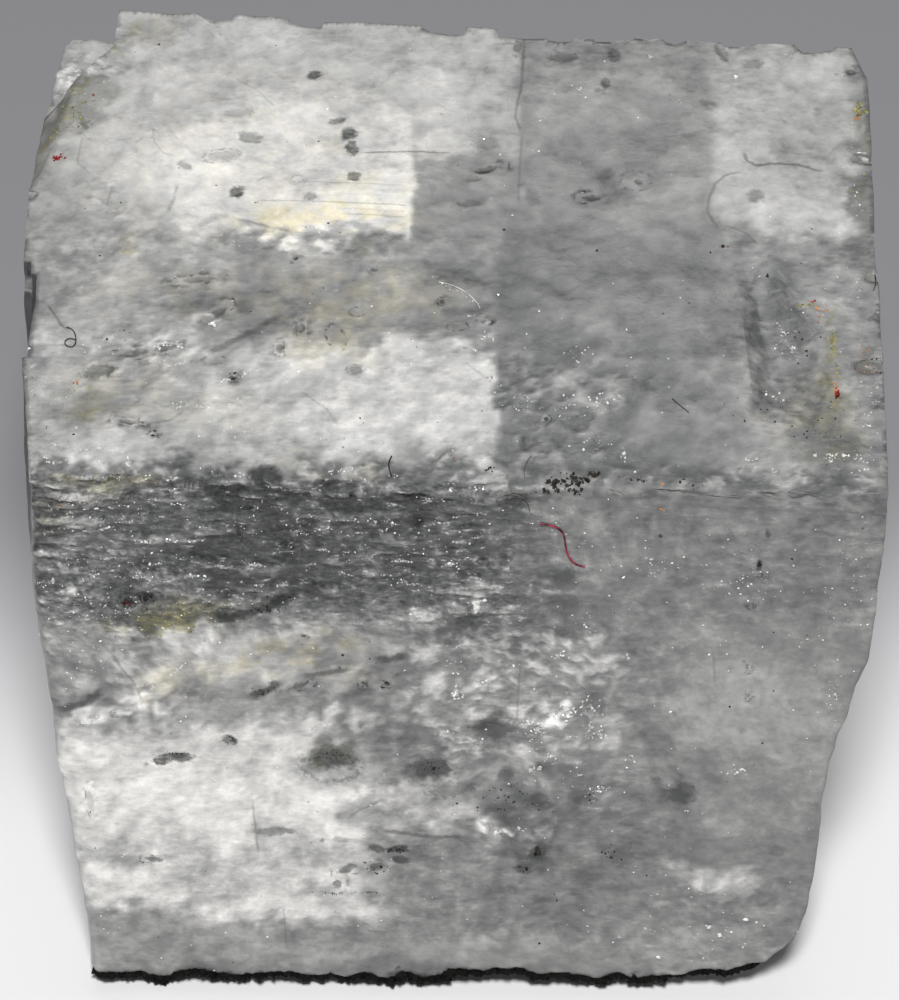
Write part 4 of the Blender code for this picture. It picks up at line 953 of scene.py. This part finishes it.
def along_rows(face, rows, chance):
    """Grains set close together along each row, with gaps."""
    grains = []
    for size, points in rows:
        for (start_x, start_y), (end_x, end_y) in zip(points, points[1:]):
            steps = max(2, int(np.hypot(end_x - start_x, end_y - start_y) / ROW_STEP))
            for step in range(steps):
                if chance.uniform() < ROW_GAPS:
                    continue
                share = (step + chance.uniform()) / steps
                x = start_x + (end_x - start_x) * share + chance.normal(0, ROW_SPREAD)
                y = start_y + (end_y - start_y) * share + chance.normal(0, ROW_SPREAD)
                grains.append((face, x, y, ROW_SHARE * size * chance.uniform(0.35, 1.1), 0.7))
    return grains


def in_clusters(face, clusters, chance):
    """Grains gathered round the middle of each cluster, most of them small."""
    grains = []
    for middle_x, middle_y, half_wide, half_high, count, greatest in clusters:
        for grain_number in range(count):
            x = middle_x + half_wide * chance.normal(0, 0.6)
            y = middle_y + half_high * chance.normal(0, 0.6)
            size = CLUSTER_SHARE * greatest * (0.3 + 0.7 * chance.uniform()**2)
            grains.append((face, x, y, size, 0.75))
    return grains


def strewn(count, size, chance):
    """Single grains, scattered over both of the shown faces."""
    grains = []
    for grain_number in range(count):
        face = ("top", "front")[grain_number % 2]
        x = chance.uniform(*STREWN_ACROSS)
        y = chance.uniform(*(STREWN_DEEP if face == "top" else STREWN_HIGH))
        grains.append((face, x, y, size * chance.uniform(0.6, 1.4), 0.7))
    return grains


def grain_finish(name, darker, lighter, roughness, transmission=0.0):
    """A finish that differs from grain to grain, between a darker and a lighter colour."""
    finish = bpy.data.materials.new(name)
    finish.use_nodes = True
    tree, links = finish.node_tree, finish.node_tree.links
    place = node_in(tree, "ShaderNodeTexCoord").outputs["Object"]
    mottling = {"Vector": place, "Scale": MOTTLES_PER_MM / MM, "Detail": 2.0}
    mottled = node_in(tree, "ShaderNodeTexNoise", mottling).outputs[0]
    ramp = node_in(tree, "ShaderNodeValToRGB", {0: mottled})
    ramp.color_ramp.elements[0].position, ramp.color_ramp.elements[0].color = 0.35, darker
    ramp.color_ramp.elements[1].position, ramp.color_ramp.elements[1].color = 0.60, lighter
    small_bump = node_in(tree, "ShaderNodeBump", {"Strength": 0.3, "Distance": 0.01 * MM, "Height": mottled})
    surface = tree.nodes["Principled BSDF"]
    links.new(ramp.outputs[0], surface.inputs["Base Color"])
    links.new(small_bump.outputs["Normal"], surface.inputs["Normal"])
    surface.inputs["Roughness"].default_value = roughness
    surface.inputs["Transmission Weight"].default_value = transmission
    surface.inputs["IOR"].default_value = SALT_IOR if transmission else DIRT_IOR
    return finish


chance = np.random.RandomState(GRAIN_SEED)
crumbs = along_rows("top", TOP_ROWS, chance) + along_rows("front", FRONT_ROWS, chance)
crumbs += in_clusters("top", TOP_CLUSTERS, chance) + in_clusters("front", FRONT_CLUSTERS, chance)
crumbs += strewn(STREWN_CRUMBS, STREWN_SIZE, chance)
salt_crumbs = stuck_on("salt_crumbs", one_crumb, crumbs, chance)
salt_crumbs.data.materials.append(
    grain_finish("broken_salt", (0.34, 0.34, 0.33, 1), (0.94, 0.94, 0.92, 1), 0.16, 0.25))

# Dark grains of anhydrite and dirt that cling to the salt: clusters of black ones on both faces, with the
# coarsest at two places on the ridge and at the front's darkest mark, and single ones strewn over all.
BLACK_TOP = (
    (2.9, -10.35, 0.30, 0.12, 26, 0.13), (3.5, -10.3, 0.28, 0.16, 38, 0.15),
    (4.0, -10.05, 0.12, 0.12, 14, 0.15), (1.0, -9.9, 0.15, 0.15, 10, 0.07),
    (5.3, -10.3, 0.18, 0.08, 12, 0.09), (6.5, -10.3, 0.12, 0.10, 7, 0.07),
    (6.9, -10.5, 0.15, 0.10, 9, 0.06), (2.1, -7.0, 0.03, 0.03, 2, 0.08), (10.3, -4.0, 0.4, 1.2, 16, 0.07),
    (10.2, -8.2, 0.8, 1.0, 30, 0.06), (12.2, -5.6, 0.25, 0.5, 20, 0.06), (8.8, -7.4, 0.8, 0.6, 12, 0.06),
    (-6.3, -6.1, 0.03, 0.03, 2, 0.11), (-8.5, -8.5, 0.02, 0.02, 2, 0.08),
    (-11.6, -8.4, 0.3, 0.3, 5, 0.06), (8.0, -0.4, 0.10, 0.05, 7, 0.10), (9.3, -1.6, 0.02, 0.06, 3, 0.09),
    (-9.9, -4.4, 0.5, 0.2, 10, 0.06),
)
BLACK_FRONT = (
    (2.9, 22.05, 0.30, 0.12, 16, 0.12), (3.5, 22.0, 0.25, 0.12, 20, 0.12),
    (-8.85, 17.5, 0.18, 0.10, 22, 0.12), (-9.35, 17.35, 0.12, 0.08, 10, 0.10),
    (-9.0, 17.1, 0.4, 0.2, 12, 0.06), (-5.5, 17.2, 0.45, 0.12, 22, 0.08),
    (-4.8, 17.6, 0.30, 0.10, 14, 0.08), (-5.5, 13.9, 0.35, 0.15, 16, 0.08),
    (-2.3, 15.2, 0.2, 0.1, 6, 0.06), (8.75, 19.4, 0.04, 0.16, 8, 0.08), (8.9, 20.6, 0.03, 0.1, 4, 0.06),
    (2.6, 6.75, 0.14, 0.25, 22, 0.10), (2.2, 6.0, 0.15, 0.12, 10, 0.08),
    (-8.2, 11.05, 0.34, 0.05, 16, 0.08), (-6.6, 11.7, 0.15, 0.12, 10, 0.07),
    (-1.6, 6.9, 0.25, 0.12, 16, 0.08), (-2.4, 5.9, 0.4, 0.2, 16, 0.07),
    (-0.6, 10.6, 0.30, 0.22, 26, 0.08), (-3.6, 11.0, 0.35, 0.2, 22, 0.06), (1.6, 9.2, 1.2, 0.6, 40, 0.07),
    (4.2, 9.4, 0.5, 0.4, 14, 0.06), (4.9, 6.8, 0.3, 0.4, 14, 0.07), (-8.6, 22.0, 1.4, 0.2, 12, 0.05),
    (-1.9, 14.2, 0.03, 0.03, 3, 0.09), (-3.2, 4.8, 0.9, 0.05, 20, 0.06),
)
STREWN_DIRT, DIRT_SIZE, BLACK_SHARE = 70, 0.04, 1.3
black = in_clusters("top", BLACK_TOP, chance) + in_clusters("front", BLACK_FRONT, chance)
black = [(face, x, y, BLACK_SHARE * size, flat) for face, x, y, size, flat in black]
black += strewn(STREWN_DIRT, DIRT_SIZE, chance)
black_grains = stuck_on("black_grains", one_crumb, black, chance)
black_grains.data.materials.append(
    grain_finish("black_dirt", (0.010, 0.010, 0.010, 1), (0.035, 0.032, 0.026, 1), 0.45))

# Painted shadow under the overhang of the foot: coarse near-black grains set all along its front edge in one
# thin ragged line, standing in for the deep shade in the gap between the foot and the floor.
FOOT_SHADOW_GRAINS, FOOT_SHADOW_GRAIN_SIZE = 1600, 0.27
FOOT_EDGE, FOOT_SKEW = -10.50, -0.0135
FOOT_ACROSS, FOOT_SPREAD = (-11.15, 9.5), (-0.13, 0.12)
shadow_packed_grains = []
for lump in range(FOOT_SHADOW_GRAINS):
    x = chance.uniform(*FOOT_ACROSS)
    y = FOOT_EDGE + FOOT_SKEW * x + chance.uniform(*FOOT_SPREAD)
    shadow_packed_grains.append(("foot", x, y, FOOT_SHADOW_GRAIN_SIZE * chance.uniform(0.6, 1.0), 0.9))
foot_shadow_grains = stuck_on("foot_shadow_grains", one_crumb, shadow_packed_grains, chance)
foot_shadow_grains.data.materials.append(
    grain_finish("painted_foot_shadow", (0.001, 0.001, 0.001, 1), (0.006, 0.006, 0.005, 1), 0.8))

# Rust-red flakes of iron oxide, and grains of orange and of yellow-green clay. Most are caught in the pit,
# along the two side edges of the top and in the torn band of the front.
RED_TOP = (
    (-12.0, 3.65, 0.16, 0.12, 26, 0.14), (-11.1, 6.5, 0.05, 0.05, 6, 0.09),
    (8.05, -0.4, 0.08, 0.04, 6, 0.08), (11.05, -6.8, 0.07, 0.14, 26, 0.14),
    (10.5, -2.8, 0.12, 0.05, 9, 0.08), (4.05, -10.05, 0.06, 0.08, 9, 0.11),
    (4.8, -10.2, 0.2, 0.06, 8, 0.06), (0.1, -9.4, 0.08, 0.05, 5, 0.07),
    (12.15, -5.2, 0.25, 0.4, 12, 0.06),
)
RED_FRONT = (
    (-9.4, 17.3, 0.10, 0.06, 8, 0.08), (-9.9, 16.2, 0.2, 0.2, 8, 0.05), (-6.9, 17.3, 0.1, 0.1, 6, 0.07),
)
ORANGE_TOP = (
    (10.75, -3.1, 0.18, 0.12, 18, 0.09), (11.0, -6.5, 0.12, 0.3, 16, 0.08),
    (5.9, -10.4, 0.08, 0.05, 9, 0.09), (-10.8, -6.3, 0.10, 0.10, 10, 0.08),
    (12.0, -5.3, 0.3, 0.5, 34, 0.07), (-11.7, 5.1, 0.2, 0.3, 12, 0.07), (10.7, -3.5, 0.06, 0.15, 8, 0.08),
    (12.4, 5.6, 0.12, 0.2, 10, 0.08),
)
ORANGE_FRONT = (
    (5.9, 21.4, 0.06, 0.04, 6, 0.08), (-11.2, 21.0, 0.3, 0.2, 8, 0.05), (-8.3, 21.9, 0.6, 0.1, 8, 0.05),
)
CLAY_TOP = (
    (12.45, 5.9, 0.15, 0.4, 40, 0.12), (11.05, -4.6, 0.07, 0.6, 46, 0.10),
    (11.1, -5.8, 0.10, 0.3, 26, 0.10), (10.3, -2.9, 0.3, 0.08, 16, 0.08),
    (10.9, -7.2, 0.10, 0.2, 14, 0.09), (-11.7, 6.0, 0.5, 0.9, 70, 0.09), (-12.2, 4.8, 0.2, 0.3, 20, 0.08),
    (-5.9, 1.6, 0.06, 0.03, 5, 0.08), (-10.6, -7.6, 0.5, 0.4, 20, 0.06), (12.2, 3.0, 0.2, 1.5, 20, 0.08),
    (-10.9, -6.6, 0.08, 0.08, 6, 0.07),
)
CLAY_FRONT = (
    (-8.4, 16.7, 0.9, 0.3, 50, 0.09), (-10.4, 22.0, 1.2, 0.2, 26, 0.06), (-7.8, 16.4, 0.5, 0.3, 24, 0.09),
)
COLOURED = (
    ("red_flakes", RED_TOP, RED_FRONT, 0.45, (0.050, 0.006, 0.005, 1), (0.30, 0.018, 0.012, 1)),
    ("orange_grains", ORANGE_TOP, ORANGE_FRONT, 0.75, (0.26, 0.060, 0.012, 1), (0.62, 0.27, 0.05, 1)),
    ("clay_grains", CLAY_TOP, CLAY_FRONT, 0.75, (0.10, 0.09, 0.03, 1), (0.34, 0.31, 0.12, 1)),
)
for name, on_the_top, on_the_front, flatness, darker, lighter in COLOURED:
    grains = in_clusters("top", on_the_top, chance) + in_clusters("front", on_the_front, chance)
    grains = [(face, x, y, size, flatness) for face, x, y, size, flat in grains]
    piece = stuck_on(name, one_crumb, grains, chance)
    piece.data.materials.append(grain_finish(name, darker, lighter, 0.55))
bpy.data.objects.remove(one_crumb)

# Lint that sticks to the dry salt: a red thread and a brown hair on the front, and four hairs, a curl of
# fluff and a pale curl on the top. Each is one thin round fibre that follows the face it lies on.
FIBRE_LIFT, LINT_ROUGHNESS = 1.5, 0.5
FIBRES = (
    ("red_thread", "front", 0.026, ((2.5, 20.75), (2.75, 20.8), (2.95, 20.7), (3.15, 20.45), (3.22, 20.1),
                                    (3.25, 19.8), (3.35, 19.5), (3.55, 19.3), (3.8, 19.3)),
     (0.035, 0.008, 0.012, 1), (0.30, 0.03, 0.06, 1)),
    ("brown_hair", "front", 0.014, ((1.3, 21.7), (1.65, 21.85), (2.0, 21.75), (2.15, 21.5), (2.2, 21.2)),
     (0.06, 0.05, 0.04, 1), (0.14, 0.12, 0.10, 1)),
    ("black_hair", "top", 0.020, ((-1.7, -9.35), (-1.83, -9.6), (-1.8, -9.8), (-1.7, -10.1)),
     (0.010, 0.010, 0.010, 1), (0.03, 0.03, 0.03, 1)),
    ("grey_hair", "top", 0.013, ((2.25, -9.3), (2.05, -9.55), (2.0, -9.9), (2.05, -10.2)),
     (0.05, 0.05, 0.05, 1), (0.12, 0.12, 0.12, 1)),
    ("curled_fluff", "top", 0.017, ((-11.25, -4.0), (-11.05, -4.05), (-10.95, -4.3), (-10.92, -4.7),
                                    (-11.05, -4.85), (-11.25, -4.75), (-11.27, -4.55), (-11.1, -4.42),
                                    (-10.95, -4.5)),
     (0.015, 0.015, 0.015, 1), (0.05, 0.05, 0.045, 1)),
    ("pale_curl", "top", 0.014, ((-0.4, -2.0), (0.0, -2.1), (0.4, -2.4), (0.7, -2.8), (0.8, -3.1)),
     (0.35, 0.35, 0.34, 1), (0.60, 0.60, 0.58, 1)),
    ("short_hair", "top", 0.014, ((6.3, -7.0), (6.5, -7.3), (6.75, -7.6)),
     (0.02, 0.02, 0.02, 1), (0.05, 0.05, 0.05, 1)),
    ("edge_hair", "top", 0.014, ((12.35, -2.4), (12.5, -2.0), (12.45, -1.6)),
     (0.02, 0.02, 0.02, 1), (0.05, 0.05, 0.05, 1)),
)
for name, face, radius, points, darker, lighter in FIBRES:
    route = bpy.data.curves.new(name, "CURVE")
    route.dimensions = "3D"
    route.bevel_depth = radius * MM
    route.bevel_resolution = 1
    route.resolution_u = 6
    route.use_fill_caps = True
    line = route.splines.new("NURBS")
    line.points.add(len(points) - 1)
    line.use_endpoint_u = True
    line.order_u = 4
    for number, (x, y) in enumerate(points):
        place, out = landed(face, x, y)
        line.points[number].co = ((place + out * radius * FIBRE_LIFT) * MM).to_4d()
        line.points[number].co.w = 1.0
    fibre = bpy.data.objects.new(name, route)
    bpy.context.scene.collection.objects.link(fibre)
    pick_up(fibre)
    bpy.ops.object.convert(target="MESH")
    fibre = bpy.context.object
    fibre.data.materials.append(grain_finish(name, darker, lighter, LINT_ROUGHNESS))
    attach(fibre, "root")

# The pale surface it stands on, its colour fading from white in front of the block to grey behind it as
# painted shade, and plain studio light: a soft box high in front, a wide faint one behind the block, and a
# little light from all round.
FLOOR_HALF, BLOCK_MIDDLE = 160.0, 11
STUDIO_AIR = (0.10, 0.10, 0.105, 1)
KEY_PLACE, KEY_SIZE, KEY_POWER = (2, -146, 265), 44, 1.12
BACK_PLACE, BACK_SIZE, BACK_POWER = (0, 200, 300), 150, 0.30
FLOOR_WHITE, FLOOR_PAINTED_SHADE = (0.66, 0.66, 0.665, 1), (0.195, 0.195, 0.205, 1)
FLOOR_WHITE_AT, FLOOR_PAINTED_SHADE_AT, FLOOR_ASKEW = -5.0, 13.0, -0.04

bpy.ops.object.select_all(action="DESELECT")
bpy.ops.mesh.primitive_plane_add(size=2 * FLOOR_HALF * MM, location=(0, 0, 0))
floor = bpy.context.object
floor.name = "pale_floor"
floor_finish = bpy.data.materials.new("pale_floor")
floor_finish.use_nodes = True
floor_tree = floor_finish.node_tree
floor_place = node_in(floor_tree, "ShaderNodeTexCoord").outputs["Object"]
floor_split = node_in(floor_tree, "ShaderNodeSeparateXYZ", {0: floor_place}).outputs
floor_sum = {0: floor_split["X"], 1: FLOOR_ASKEW, 2: floor_split["Y"]}
floor_run = node_in(floor_tree, "ShaderNodeMath", floor_sum, operation="MULTIPLY_ADD").outputs[0]
# Painted shade: the floor's colour runs from white in front to grey behind, slightly askew, standing in for
# the fall of the light.
floor_span = {"Value": floor_run, "From Min": FLOOR_WHITE_AT * MM, "From Max": FLOOR_PAINTED_SHADE_AT * MM}
floor_shade_share = node_in(floor_tree, "ShaderNodeMapRange", floor_span, interpolation_type="SMOOTHSTEP")
floor_ramp = node_in(floor_tree, "ShaderNodeValToRGB", {0: floor_shade_share.outputs["Result"]})
floor_ramp.color_ramp.elements[0].color = FLOOR_WHITE
floor_ramp.color_ramp.elements[1].color = FLOOR_PAINTED_SHADE
floor_surface = floor_tree.nodes["Principled BSDF"]
floor_tree.links.new(floor_ramp.outputs[0], floor_surface.inputs["Base Color"])
floor_surface.inputs["Roughness"].default_value = 0.7
floor.data.materials.append(floor_finish)


def soft_box(name, place, size, power):
    """A square soft box that faces the block's middle."""
    bpy.ops.object.light_add(type="AREA", location=Vector(place) * MM)
    box = bpy.context.object
    box.name = name
    box.data.size = size * MM
    box.data.energy = power
    middle = Vector((0, 0, BLOCK_MIDDLE)) * MM
    box.rotation_euler = (middle - box.location).to_track_quat("-Z", "Y").to_euler()


soft_box("key_box", KEY_PLACE, KEY_SIZE, KEY_POWER)
soft_box("back_box", BACK_PLACE, BACK_SIZE, BACK_POWER)

surroundings = bpy.data.worlds.new("studio_air")
surroundings.use_nodes = True
surroundings.node_tree.nodes["Background"].inputs["Color"].default_value = STUDIO_AIR
bpy.context.scene.world = surroundings
bpy.context.scene.view_settings.view_transform = "Standard"
